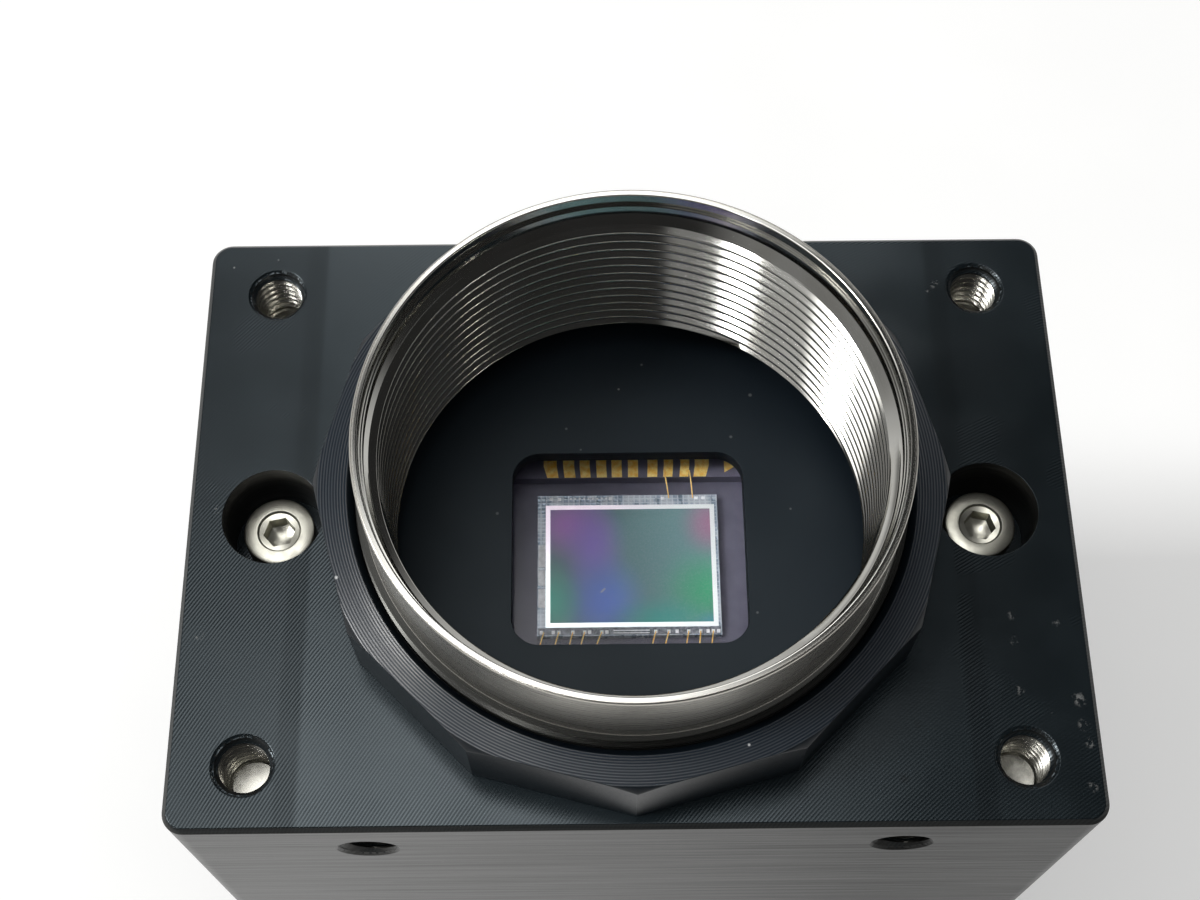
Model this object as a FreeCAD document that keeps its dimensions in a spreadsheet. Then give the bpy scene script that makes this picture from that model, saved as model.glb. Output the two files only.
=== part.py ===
import FreeCAD, Part
import math
import os
import Sketcher

# Machine vision camera with a threaded lens mount.
# Millimetres. The camera stands on its rear face: the origin is the middle of that face,
# +Z is the optical axis towards the lens, +X runs along the wide side and +Y along the narrow one.

doc = FreeCAD.newDocument("MachineVisionCamera")
sheet = doc.addObject("Spreadsheet::Sheet", "Dims")

DRIVING_SIZES = [
    # housing
    ("body_width", 46.0, "housing along X"),
    ("body_height", 33.0, "housing along Y"),
    ("body_depth", 49.0, "rear face to front face"),
    ("front_depth", 29.0, "depth of the front housing"),
    ("seal_thickness", 0.3, "gasket between the two housings"),
    ("corner_radius", 1.1, "long edges of the housing"),
    ("edge_break", 0.25, "chamfer round the front and rear faces"),
    ("wall", 2.2, "side walls"),
    ("boss_size", 5.4, "square corner bosses inside the walls"),
    ("rear_wall", 2.5, "wall that carries the connectors"),
    ("fit_gap", 0.15, "clearance round what drops into the housing"),
    # lens opening of the front housing
    ("seat_depth", 4.7, "front face down to the mask round the sensor window"),
    ("mask_thickness", 1.0, "mask with the sensor window"),
    ("window_width", 12.75, "sensor window along X"),
    ("window_height", 11.15, "sensor window along Y"),
    ("window_corner", 1.5, "corner radius of the sensor window"),
    # threaded holes
    ("face_hole_inset_x", 3.8, "front corner holes in from the sides, along X"),
    ("face_hole_inset_y", 3.3, "front corner holes in from the sides, along Y"),
    ("side_hole_x", 13.35, "side holes from the axis"),
    ("side_hole_drop", 3.8, "side holes below the front face"),
    ("tap_radius", 1.25, "core of an M3 thread"),
    ("tap_depth", 4.0, "threaded holes"),
    ("tap_mouth", 1.6, "countersunk mouth of a threaded hole"),
    # clamp screws of the sensor carrier
    ("clamp_inset", 4.4, "clamp screws in from the sides"),
    ("clamp_seat_depth", 4.05, "front face to the seat of the head"),
    ("clamp_bore", 2.62, "counterbore radius"),
    ("clamp_head", 1.88, "head radius"),
    ("clamp_head_height", 2.0, "head height"),
    ("clamp_tip_gap", 0.3, "shank's tip to the sensor board"),
    ("clamp_shank", 1.0, "shank radius"),
    ("cap_hex", 0.87, "corner radius of a cap screw's hexagon socket"),
    ("cap_socket", 1.0, "depth of a cap screw's socket"),
    ("cap_chamfer", 0.15, "chamfer round a cap screw's head"),
    ("hole_clearance", 0.15, "a clearance hole round its screw"),
    ("thread_clearance", 0.03, "a threaded hole round its screw"),
    # mount ring
    ("ring_rise", 10.0, "front face to the lens flange"),
    ("ring_drop", 2.4, "front face down to the end of the ring"),
    ("lens_thread", 12.27, "crests of the lens thread"),
    ("ring_wall", 1.48, "lens thread to the ring's outer thread"),
    ("collar_step", 0.4, "outer thread in to the smooth collar"),
    ("collar_height", 4.8, "smooth collar"),
    ("relief_step", 0.55, "lens thread out to the relief above it"),
    ("relief_depth", 1.4, "flange to the bottom of the relief"),
    ("lip_step", 0.16, "relief out to the inside of the rim"),
    ("lip_depth", 0.75, "flange to the bottom of the rim's recess"),
    ("ring_chamfer", 0.1, "edges of the rim"),
    ("ring_fit", 0.05, "outer thread out to the threads that take it"),
    ("flange_focal", 17.526, "lens flange to the image plane"),
    # lock ring
    ("lock_wall", 2.12, "threaded bore to the corners of the twelve-sided ring"),
    ("lock_bevel", 0.32, "chamfer of the corners at the top face"),
    ("lock_height", 4.6, "lock ring"),
    ("lock_mouth", 0.35, "chamfer of the bore"),
    ("lock_gap", 0.03, "under the lock ring"),
    # image sensor
    ("die_width", 10.15, "silicon die along X"),
    ("die_height", 8.35, "silicon die along Y"),
    ("die_thickness", 0.5, "silicon die"),
    ("package_width", 16.8, "ceramic package along X"),
    ("package_height", 15.2, "ceramic package along Y"),
    ("package_base", 1.0, "ceramic below the die"),
    ("cavity_width", 14.2, "die cavity along X"),
    ("cavity_height", 10.3, "die cavity along Y, between the bond shelves"),
    ("shelf_height", 13.6, "outer edges of the two bond shelves along Y"),
    ("shelf_rise", 0.25, "bond shelves above the die's face"),
    ("package_rise", 0.75, "package rim above the die's face"),
    ("glass_width", 16.0, "cover glass along X"),
    ("glass_height", 14.6, "cover glass along Y"),
    ("glass_thickness", 0.6, "cover glass"),
    ("gasket_margin", 1.0, "gasket's opening over the sensor window, both sides together"),
    ("lead_pitch", 1.4, "package leads"),
    ("lead_inset", 0.7, "lead rows in from the package's edges"),
    ("lead_width", 0.46, "flat package leads along X"),
    ("lead_sheet", 0.25, "flat package leads along Y"),
    ("lead_length", 2.3, "package leads"),
    ("lead_clearance", 0.06, "board slots round the leads"),
    # circuit boards
    ("board_thickness", 1.2, "sensor and processor boards"),
    ("interface_thickness", 1.6, "interface board"),
    ("front_spacing", 5.0, "sensor board to processor board"),
    ("stack_inset", 3.0, "stack screws in from the walls, along X"),
    ("stack_clearance", 2.8, "stack screws in from the corner bosses, along Y"),
    ("stack_shank", 0.8, "stack screw radius"),
    ("stack_head", 1.5, "stack screw head radius"),
    ("stack_head_height", 1.1, "stack screw head height"),
    ("stack_bite", 2.8, "stack screws in the carrier"),
    ("spacer_corner", 1.75, "six-sided spacers, corner radius"),
    ("link_width", 20.0, "board connectors along X"),
    ("link_height", 3.6, "board connectors along Y"),
    ("link_inset", 4.1, "board connectors in from the wall"),
    # what the boards carry
    ("processor_size", 14.0, "processor chip, square"),
    ("processor_rise", 1.4, "processor chip"),
    ("processor_x", -6.0, "processor chip"),
    ("memory_width", 8.0, "memory chips along X"),
    ("memory_height", 6.0, "memory chips along Y"),
    ("memory_rise", 1.0, "memory chips"),
    ("memory_x", 8.0, "memory chips"),
    ("memory_y", 3.6, "memory chips from the axis"),
    ("oscillator_width", 3.2, "oscillator along X"),
    ("oscillator_height", 2.5, "oscillator along Y"),
    ("oscillator_rise", 1.0, "oscillator"),
    ("oscillator_x", 14.6, "oscillator"),
    ("network_size", 9.0, "network chip, square"),
    ("network_rise", 1.2, "network chip"),
    ("network_x", -9.0, "network chip"),
    ("network_y", -2.5, "network chip"),
    ("transformer_width", 12.8, "network transformer along X"),
    ("transformer_height", 9.4, "network transformer along Y"),
    ("transformer_rise", 5.6, "network transformer"),
    ("transformer_x", 6.8, "network transformer"),
    ("transformer_y", -2.2, "network transformer"),
    ("coil_size", 5.0, "power coils, square"),
    ("coil_rise", 3.0, "power coils"),
    ("coil_x", -6.0, "middle of the pair of power coils"),
    ("coil_y", -11.0, "power coils"),
    ("coil_pitch", 6.0, "power coils"),
    # ethernet jack
    ("jack_x", 7.4, "jack from the axis"),
    ("jack_width", 16.0, "jack shield along X"),
    ("jack_height", 13.4, "jack shield along Y"),
    ("jack_depth", 21.0, "jack shield along Z"),
    ("jack_inset", 0.3, "rear face to the jack's face"),
    ("shield_sheet", 0.3, "shield metal"),
    ("plug_width", 11.8, "plug cavity along X"),
    ("plug_height", 6.8, "plug cavity along Y"),
    ("plug_depth", 12.6, "plug cavity along Z"),
    ("plug_y", -1.2, "middle of the plug cavity"),
    ("latch_width", 6.2, "latch slot along X"),
    ("latch_height", 2.4, "latch slot along Y"),
    ("insert_slack", 0.05, "moulded insert inside the shield"),
    ("contact_pitch", 1.02, "jack contacts"),
    ("contact_width", 0.4, "jack contacts"),
    ("contact_sheet", 0.3, "jack contacts"),
    ("contact_length", 8.0, "jack contacts"),
    ("contact_inset", 3.6, "jack's face to the contacts"),
    ("contact_rise", 0.3, "contacts above the floor of the plug cavity"),
    # power and trigger receptacle
    ("port_x", -12.4, "receptacle from the axis, along X"),
    ("port_y", 3.2, "receptacle from the axis, along Y"),
    ("port_radius", 5.0, "receptacle shell"),
    ("port_bore", 4.2, "inside of the shell"),
    ("port_length", 9.0, "receptacle shell"),
    ("port_flange", 6.2, "flange behind the rear wall"),
    ("port_flange_thickness", 1.2, "flange behind the rear wall"),
    ("port_insert_depth", 5.0, "shell face to the insert"),
    ("port_slack", 0.03, "clearance round the insert and round the pins in it"),
    ("key_width", 1.0, "key rib inside the shell"),
    ("key_rise", 0.5, "key rib inside the shell"),
    ("pin_circle", 2.3, "receptacle pins from the shell's axis"),
    ("pin_radius", 0.4, "receptacle pins"),
    ("pin_proud", 3.0, "pins above the insert"),
    # status light
    ("light_x", -12.4, "status light, along X"),
    ("light_y", -9.4, "status light, along Y"),
    ("light_radius", 1.2, "light pipe"),
    ("light_flange", 1.9, "light pipe's flange"),
    ("light_flange_thickness", 1.0, "light pipe's flange"),
    ("light_chip_width", 2.0, "light-emitting chip along X"),
    ("light_chip_height", 1.4, "light-emitting chip along Y"),
    ("light_chip_rise", 0.7, "light-emitting chip"),
    # cover screws
    ("cover_inset", 3.1, "cover screws in from the sides"),
    ("cover_shank", 1.0, "shank radius"),
    ("cover_head", 1.9, "head radius"),
    ("cover_head_height", 2.0, "head height"),
    ("cover_bite", 5.0, "cover screws in the front housing"),
    ("cover_tip_room", 1.0, "threaded hole beyond the screw's tip"),
    ("cover_seat", 2.3, "head seat above the rear face"),
]


class Size:
    """A size: its number, and the formula on the sheet that it comes from."""

    def __init__(self, value, formula):
        self.value = value
        self.formula = formula

    def __add__(self, other):
        other = as_size(other)
        return Size(self.value + other.value, f"({self.formula} + {other.formula})")

    def __sub__(self, other):
        other = as_size(other)
        return Size(self.value - other.value, f"({self.formula} - {other.formula})")

    def __mul__(self, other):
        other = as_size(other)
        return Size(self.value * other.value, f"({self.formula} * {other.formula})")

    def __truediv__(self, other):
        other = as_size(other)
        return Size(self.value / other.value, f"({self.formula} / {other.formula})")

    def __radd__(self, other):
        return as_size(other) + self

    def __rsub__(self, other):
        return as_size(other) - self

    def __rmul__(self, other):
        return as_size(other) * self

    def __neg__(self):
        return 0 - self


def as_size(number):
    """A plain number or a Size, as a Size."""
    if isinstance(number, Size):
        return number
    return Size(float(number), f"({float(number)})")


class Dimensions:
    """The driving sizes, by name."""


dim = Dimensions()
for row, (alias, number, note) in enumerate(DRIVING_SIZES, start=1):
    sheet.set(f"A{row}", note)
    sheet.set(f"B{row}", str(number))
    sheet.setAlias(f"B{row}", alias)
    setattr(dim, alias, Size(number, f"Dims.{alias}"))
doc.recompute()

LEADS_IN_ROW = 10
JACK_CONTACTS = 8
PORT_PINS = 6
LOCK_SIDES = 12
CONTACT_SLOPE = 9.0     # degrees
TOOL_REACH = 1.0        # how far a cutting tool passes the face that it cuts

# Levels along the optical axis, each worked out from the driving sizes.
front_face = dim.body_depth
seam = front_face - dim.front_depth
mask_top = front_face - dim.seat_depth
mask_bottom = mask_top - dim.mask_thickness
flange_face = front_face + dim.ring_rise
image_plane = flange_face - dim.flange_focal
package_bottom = image_plane - dim.die_thickness - dim.package_base
package_top = image_plane + dim.package_rise
glass_top = package_top + dim.glass_thickness
sensor_board_bottom = package_bottom - dim.board_thickness
processor_board_top = sensor_board_bottom - dim.front_spacing
processor_board_bottom = processor_board_top - dim.board_thickness
interface_board_bottom = dim.jack_inset + dim.jack_depth
interface_board_top = interface_board_bottom + dim.interface_thickness
rear_spacing = processor_board_bottom - interface_board_top
inner_width = dim.body_width - 2 * dim.wall
inner_height = dim.body_height - 2 * dim.wall

# Places across the axis.
face_hole_x = dim.body_width / 2 - dim.face_hole_inset_x
face_hole_y = dim.body_height / 2 - dim.face_hole_inset_y
clamp_x = dim.body_width / 2 - dim.clamp_inset
cover_x = dim.body_width / 2 - dim.cover_inset
cover_y = dim.body_height / 2 - dim.cover_inset
stack_x = inner_width / 2 - dim.stack_inset
stack_y = inner_height / 2 - dim.boss_size - dim.stack_clearance
link_y = inner_height / 2 - dim.link_inset
lead_row = dim.package_height / 2 - dim.lead_inset

# Radii of the lens mount, from the lens thread outwards.
ring_thread = dim.lens_thread + dim.ring_wall
collar_radius = ring_thread - dim.collar_step
relief_radius = dim.lens_thread + dim.relief_step
lip_radius = relief_radius + dim.lip_step
seat_radius = ring_thread + dim.ring_fit
lock_bore = ring_thread + dim.ring_fit
lock_corner = lock_bore + dim.lock_wall
CORNERS = [(1, 1), (-1, 1), (-1, -1), (1, -1)]

subparts = []


def keep(obj, label):
    """Names an object as one sub-part of the camera."""
    obj.Label = label
    subparts.append(obj)
    return obj


def bind(obj, prop, size):
    """Ties a property to the sheet."""
    obj.setExpression(prop, as_size(size).formula)


def place(obj, x=0, y=0, z=0):
    """Ties an object's position to the sheet."""
    bind(obj, ".Placement.Base.x", x)
    bind(obj, ".Placement.Base.y", y)
    bind(obj, ".Placement.Base.z", z)
    return obj


# ---------------------------------------------------------------- sketches and features

def new_body(name):
    return doc.addObject("PartDesign::Body", name)


def new_sketch(body, name, level=0, plane="XY_Plane"):
    """A sketch on one of the body's own origin planes, moved along its normal to a level."""
    sketch = body.newObject("Sketcher::SketchObject", name)
    origin_plane = [feature for feature in body.Origin.OriginFeatures if feature.Role == plane]
    sketch.AttachmentSupport = [(origin_plane[0], "")]
    sketch.MapMode = "FlatFace"
    bind(sketch, ".AttachmentOffset.Base.z", level)
    return sketch


def tie_point(sketch, curve, end, x, y):
    """Holds a point of a sketch at x and y from the sketch's origin."""
    for kind, axis, size in (("DistanceX", -2, as_size(x)), ("DistanceY", -1, as_size(y))):
        if abs(size.value) < 1e-9:
            sketch.addConstraint(Sketcher.Constraint("PointOnObject", curve, end, axis))
            continue
        if size.value > 0:
            rule = Sketcher.Constraint(kind, -1, 1, curve, end, size.value)
        else:
            size = -size
            rule = Sketcher.Constraint(kind, curve, end, -1, 1, size.value)
        index = sketch.addConstraint(rule)
        bind(sketch, f"Constraints[{index}]", size)


def draw_outline(sketch, points):
    """A closed outline of straight lines through points given as pairs of sizes."""
    points = [(as_size(x), as_size(y)) for x, y in points]
    vectors = [FreeCAD.Vector(x.value, y.value, 0) for x, y in points]
    lines = []
    for start, end in zip(vectors, vectors[1:] + vectors[:1]):
        lines.append(sketch.addGeometry(Part.LineSegment(start, end), False))
    for line, following in zip(lines, lines[1:] + lines[:1]):
        sketch.addConstraint(Sketcher.Constraint("Coincident", line, 2, following, 1))
    for line, (x, y) in zip(lines, points):
        tie_point(sketch, line, 1, x, y)


def draw_rectangle(sketch, width, height, x=0, y=0):
    left, right = x - as_size(width) / 2, x + as_size(width) / 2
    low, high = y - as_size(height) / 2, y + as_size(height) / 2
    draw_outline(sketch, [(left, low), (right, low), (right, high), (left, high)])


def draw_notched_rectangle(sketch, width, height, notch):
    """A rectangle whose four corners are cut out square, to pass the corner bosses."""
    x, y = as_size(width) / 2, as_size(height) / 2
    inner_x, inner_y = x - notch, y - notch
    draw_outline(sketch, [
        (inner_x, -y), (inner_x, -inner_y), (x, -inner_y),
        (x, inner_y), (inner_x, inner_y), (inner_x, y),
        (-inner_x, y), (-inner_x, inner_y), (-x, inner_y),
        (-x, -inner_y), (-inner_x, -inner_y), (-inner_x, -y),
    ])


def draw_circle(sketch, radius, x=0, y=0):
    x, y, radius = as_size(x), as_size(y), as_size(radius)
    centre = FreeCAD.Vector(x.value, y.value, 0)
    circle = sketch.addGeometry(Part.Circle(centre, FreeCAD.Vector(0, 0, 1), radius.value), False)
    tie_point(sketch, circle, 3, x, y)
    index = sketch.addConstraint(Sketcher.Constraint("Radius", circle, radius.value))
    bind(sketch, f"Constraints[{index}]", radius)


def draw_circles(sketch, radius, x, y, signs):
    for sign_x, sign_y in signs:
        draw_circle(sketch, radius, sign_x * x, sign_y * y)


def volume_of(body):
    doc.recompute()
    return body.Shape.Volume


def pad(body, sketch, length):
    feature = body.newObject("PartDesign::Pad", sketch.Name + "Pad")
    feature.Profile = sketch
    bind(feature, "Length", length)
    sketch.Visibility = False
    doc.recompute()
    return feature


def pocket(body, sketch, depth, reverse=False):
    """Cuts a sketch into the body, and makes sure that the cut met the solid."""
    before = volume_of(body)
    feature = body.newObject("PartDesign::Pocket", sketch.Name + "Pocket")
    feature.Profile = sketch
    feature.Reversed = reverse
    bind(feature, "Length", depth)
    sketch.Visibility = False
    if volume_of(body) >= before:
        raise RuntimeError(f"{feature.Name} cuts nothing")
    return feature


def hole(body, sketch, radius, depth, cut=None, reverse=False):
    """Drilled holes at a sketch's circles. cut is (kind, mouth radius, mouth depth)."""
    before = volume_of(body)
    feature = body.newObject("PartDesign::Hole", sketch.Name + "Hole")
    feature.Profile = sketch
    feature.Reversed = reverse
    feature.DepthType = "Dimension"
    feature.DrillPoint = "Flat"
    feature.ThreadType = "None"
    bind(feature, "Diameter", 2 * radius)
    bind(feature, "Depth", depth)
    if cut:
        kind, mouth, mouth_depth = cut
        feature.HoleCutType = kind
        feature.HoleCutCustomValues = True
        bind(feature, "HoleCutDiameter", 2 * mouth)
        if kind == "Counterbore":
            bind(feature, "HoleCutDepth", mouth_depth)
        else:
            feature.HoleCutCountersinkAngle = 90
    sketch.Visibility = False
    if volume_of(body) >= before:
        raise RuntimeError(f"{feature.Name} cuts nothing")
    return feature


def revolve(body, sketch):
    """Turns a profile about the optical axis."""
    feature = body.newObject("PartDesign::Revolution", sketch.Name + "Turned")
    feature.Profile = sketch
    feature.ReferenceAxis = (sketch, ["V_Axis"])
    feature.Angle = 360
    sketch.Visibility = False
    doc.recompute()
    return feature


def edges_that(shape, test):
    """Names of the edges of a shape that pass a test."""
    return [f"Edge{number}" for number, edge in enumerate(shape.Edges, start=1) if test(edge)]


def is_upright(edge):
    ends = [vertex.Point for vertex in edge.Vertexes]
    return len(ends) == 2 and (ends[1] - ends[0]).cross(FreeCAD.Vector(0, 0, 1)).Length < 1e-6


def lies_at(edge, level):
    return abs(edge.BoundBox.ZMin - level) < 1e-6 and abs(edge.BoundBox.ZMax - level) < 1e-6


def within(edge, half_width, half_height):
    box = edge.BoundBox
    reach_x = max(abs(box.XMin), abs(box.XMax))
    reach_y = max(abs(box.YMin), abs(box.YMax))
    return reach_x < half_width + 1e-6 and reach_y < half_height + 1e-6


def fillet(body, base, edges, radius):
    feature = body.newObject("PartDesign::Fillet", base.Name + "Fillet")
    feature.Base = (base, edges)
    bind(feature, "Radius", radius)
    base.Visibility = False
    doc.recompute()
    return feature


def chamfer(body, base, edges, size):
    feature = body.newObject("PartDesign::Chamfer", base.Name + "Chamfer")
    feature.Base = (base, edges)
    bind(feature, "Size", size)
    base.Visibility = False
    doc.recompute()
    return feature


# ---------------------------------------------------------------- Part primitives

def cylinder(name, radius, height, x=0, y=0, z=0):
    obj = doc.addObject("Part::Cylinder", name)
    bind(obj, "Radius", radius)
    bind(obj, "Height", height)
    return place(obj, x, y, z)


def cone(name, low_radius, high_radius, height, x=0, y=0, z=0):
    obj = doc.addObject("Part::Cone", name)
    bind(obj, "Radius1", low_radius)
    bind(obj, "Radius2", high_radius)
    bind(obj, "Height", height)
    return place(obj, x, y, z)


def prism(name, sides, corner_radius, height, x=0, y=0, z=0):
    obj = doc.addObject("Part::Prism", name)
    obj.Polygon = sides
    bind(obj, "Circumradius", corner_radius)
    bind(obj, "Height", height)
    return place(obj, x, y, z)


def box(name, width, height, depth, x=0, y=0, z=0):
    """A box whose middle is at x and y, and whose underside is at z."""
    obj = doc.addObject("Part::Box", name)
    bind(obj, "Length", width)
    bind(obj, "Width", height)
    bind(obj, "Height", depth)
    return place(obj, x - as_size(width) / 2, y - as_size(height) / 2, z)


def cut(name, base, tool):
    obj = doc.addObject("Part::Cut", name)
    obj.Base = base
    obj.Tool = tool
    return obj


def common(name, first, second):
    obj = doc.addObject("Part::Common", name)
    obj.Base = first
    obj.Tool = second
    return obj


def fuse(name, pieces):
    obj = doc.addObject("Part::MultiFuse", name)
    obj.Shapes = pieces
    return obj


def group(name, pieces):
    """Separate solids that share one sub-part."""
    obj = doc.addObject("Part::Compound", name)
    obj.Links = pieces
    return obj


# ---------------------------------------------------------------- housing

def make_front_housing():
    """One milled block: front face with its holes, ring seat, sensor mask and the walls behind."""
    body = new_body("FrontHousing")
    outline = new_sketch(body, "FrontOutline", seam + dim.seal_thickness)
    draw_rectangle(outline, dim.body_width, dim.body_height)
    block = pad(body, outline, dim.front_depth - dim.seal_thickness)
    block = fillet(body, block, edges_that(block.Shape, is_upright), dim.corner_radius)
    front_edges = edges_that(block.Shape, lambda edge: lies_at(edge, front_face.value))
    chamfer(body, block, front_edges, dim.edge_break)

    seat = new_sketch(body, "RingSeat", front_face)
    draw_circle(seat, seat_radius)
    pocket(body, seat, dim.seat_depth)

    cavity = new_sketch(body, "FrontCavity", seam + dim.seal_thickness)
    draw_notched_rectangle(cavity, inner_width, inner_height, dim.boss_size)
    pocket(body, cavity, mask_bottom - seam - dim.seal_thickness, reverse=True)

    window = new_sketch(body, "SensorWindow", mask_top)
    draw_rectangle(window, dim.window_width, dim.window_height)
    opening = pocket(body, window, dim.mask_thickness)
    half_width, half_height = dim.window_width.value / 2, dim.window_height.value / 2
    corners = edges_that(
        opening.Shape, lambda edge: is_upright(edge) and within(edge, half_width, half_height))
    fillet(body, opening, corners, dim.window_corner)

    clamps = new_sketch(body, "ClampHoles", front_face)
    draw_circles(clamps, dim.clamp_shank, clamp_x, 0, [(1, 1), (-1, 1)])
    hole(body, clamps, dim.clamp_shank + dim.hole_clearance, dim.seat_depth + dim.mask_thickness,
         ("Counterbore", dim.clamp_bore, dim.clamp_seat_depth))

    corner_holes = new_sketch(body, "CornerHoles", front_face)
    draw_circles(corner_holes, dim.tap_radius, face_hole_x, face_hole_y, CORNERS)
    hole(body, corner_holes, dim.tap_radius, dim.tap_depth, ("Countersink", dim.tap_mouth, 0))

    for side, reverse in ((1, False), (-1, True)):
        name = "LowSideHoles" if side > 0 else "HighSideHoles"
        side_holes = new_sketch(body, name, side * dim.body_height / 2, "XZ_Plane")
        for sign in (1, -1):
            draw_circle(side_holes, dim.tap_radius, sign * dim.side_hole_x,
                        front_face - dim.side_hole_drop)
        hole(body, side_holes, dim.tap_radius, dim.tap_depth, ("Countersink", dim.tap_mouth, 0),
             reverse)

    bosses = new_sketch(body, "CoverThreads", seam + dim.seal_thickness)
    draw_circles(bosses, dim.cover_shank, cover_x, cover_y, CORNERS)
    pocket(body, bosses, dim.cover_bite + dim.cover_tip_room, reverse=True)
    return keep(body, "front_housing")


def make_rear_cover():
    """The rear housing: walls, corner bosses, and the wall that carries the connectors."""
    body = new_body("RearCover")
    outline = new_sketch(body, "RearOutline")
    draw_rectangle(outline, dim.body_width, dim.body_height)
    block = pad(body, outline, seam)
    block = fillet(body, block, edges_that(block.Shape, is_upright), dim.corner_radius)
    rear_edges = edges_that(block.Shape, lambda edge: lies_at(edge, 0))
    chamfer(body, block, rear_edges, dim.edge_break)

    cavity = new_sketch(body, "RearCavity", seam)
    draw_notched_rectangle(cavity, inner_width, inner_height, dim.boss_size)
    pocket(body, cavity, seam - dim.rear_wall)

    jack = new_sketch(body, "JackOpening", dim.rear_wall)
    draw_rectangle(jack, dim.jack_width + 2 * dim.fit_gap, dim.jack_height + 2 * dim.fit_gap,
                   dim.jack_x)
    pocket(body, jack, dim.rear_wall)

    ports = new_sketch(body, "RoundOpenings", dim.rear_wall)
    draw_circle(ports, dim.port_radius + dim.fit_gap, dim.port_x, dim.port_y)
    draw_circle(ports, dim.light_radius + dim.fit_gap, dim.light_x, dim.light_y)
    pocket(body, ports, dim.rear_wall)

    screws = new_sketch(body, "CoverScrewHoles")
    draw_circles(screws, dim.cover_shank, cover_x, cover_y, CORNERS)
    hole(body, screws, dim.cover_shank + dim.hole_clearance, seam,
         ("Counterbore", dim.cover_head + dim.hole_clearance, dim.cover_seat), True)
    return keep(body, "rear_cover")


def make_body_gasket():
    """The flat gasket between the two housings."""
    body = new_body("BodyGasket")
    outline = new_sketch(body, "GasketOutline", seam)
    inset = dim.edge_break
    draw_rectangle(outline, dim.body_width - 2 * inset, dim.body_height - 2 * inset)
    sheet_pad = pad(body, outline, dim.seal_thickness)
    fillet(body, sheet_pad, edges_that(sheet_pad.Shape, is_upright), dim.corner_radius - inset)
    opening = new_sketch(body, "GasketOpening", seam + dim.seal_thickness)
    draw_notched_rectangle(opening, inner_width, inner_height, dim.boss_size)
    pocket(body, opening, dim.seal_thickness)
    holes = new_sketch(body, "GasketHoles", seam + dim.seal_thickness)
    draw_circles(holes, dim.cover_shank + dim.hole_clearance, cover_x, cover_y, CORNERS)
    pocket(body, holes, dim.seal_thickness)
    return keep(body, "body_gasket")


# ---------------------------------------------------------------- lens mount

def make_mount_ring():
    """The turned ring that takes the lens, on an outer thread that sets its height."""
    body = new_body("MountRing")
    profile = new_sketch(body, "RingProfile", 0, "XZ_Plane")
    low = front_face - dim.ring_drop
    top = flange_face
    break_size = dim.ring_chamfer
    shoulder = top - dim.collar_height
    step = ring_thread - collar_radius
    lead = relief_radius - dim.lens_thread
    draw_outline(profile, [
        (dim.lens_thread, low),
        (ring_thread - break_size, low),
        (ring_thread, low + break_size),
        (ring_thread, shoulder - step),
        (collar_radius, shoulder),
        (collar_radius, top - break_size),
        (collar_radius - break_size, top),
        (lip_radius, top),
        (lip_radius, top - dim.lip_depth),
        (relief_radius, top - dim.lip_depth),
        (relief_radius, top - dim.relief_depth),
        (dim.lens_thread, top - dim.relief_depth - lead),
    ])
    revolve(body, profile)
    return keep(body, "mount_ring")


def make_lock_ring():
    """The twelve-sided ring that locks the mount ring, chamfered at its top corners."""
    low = front_face + dim.lock_gap
    top = low + dim.lock_height
    shoulder = top - dim.lock_bevel - TOOL_REACH
    blank = prism("LockBlank", LOCK_SIDES, lock_corner, dim.lock_height, z=low)
    turned = fuse("LockTurned", [
        cylinder("LockDrum", lock_corner + TOOL_REACH, shoulder - low, z=low),
        cone("LockCone", lock_corner + TOOL_REACH, lock_corner - dim.lock_bevel, top - shoulder,
             z=shoulder),
    ])
    solid = common("LockSolid", blank, turned)
    bore = fuse("LockBoreTool", [
        cylinder("LockBore", lock_bore, dim.lock_height + 2 * TOOL_REACH, z=low - TOOL_REACH),
        cone("LockMouth", lock_bore, lock_bore + dim.lock_mouth + TOOL_REACH,
             dim.lock_mouth + TOOL_REACH, z=top - dim.lock_mouth),
    ])
    return keep(cut("LockRing", solid, bore), "lock_ring")


def cap_screw(name, x, y, seat, head, head_height, shank, length, rearward=False):
    """A cap screw, its head's underside at the seat, its socket facing forward or rearward."""
    edge = dim.cap_chamfer
    drum_height = head_height - edge
    if rearward:
        pieces = [
            cone(name + "Edge", head - edge, head, edge, x, y, seat - head_height),
            cylinder(name + "Head", head, drum_height, x, y, seat - drum_height),
            cylinder(name + "Shank", shank, length, x, y, seat),
        ]
        socket_low = seat - head_height - TOOL_REACH
    else:
        pieces = [
            cylinder(name + "Shank", shank, length, x, y, seat - length),
            cylinder(name + "Head", head, drum_height, x, y, seat),
            cone(name + "Edge", head, head - edge, edge, x, y, seat + drum_height),
        ]
        socket_low = seat + head_height - dim.cap_socket
    socket = prism(name + "Socket", 6, dim.cap_hex, dim.cap_socket + TOOL_REACH, x, y, socket_low)
    return cut(name, fuse(name + "Blank", pieces), socket)


def make_clamp_screws():
    """The two cap screws that hold the sensor carrier behind the mask."""
    screws = []
    seat = front_face - dim.clamp_seat_depth
    length = seat - package_bottom - dim.clamp_tip_gap
    for number, sign in enumerate((1, -1), start=1):
        screws.append(cap_screw(f"ClampScrew{number}", sign * clamp_x, 0, seat, dim.clamp_head,
                                dim.clamp_head_height, dim.clamp_shank, length))
    return keep(group("ClampScrews", screws), "clamp_screws")


# ---------------------------------------------------------------- image sensor

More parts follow.
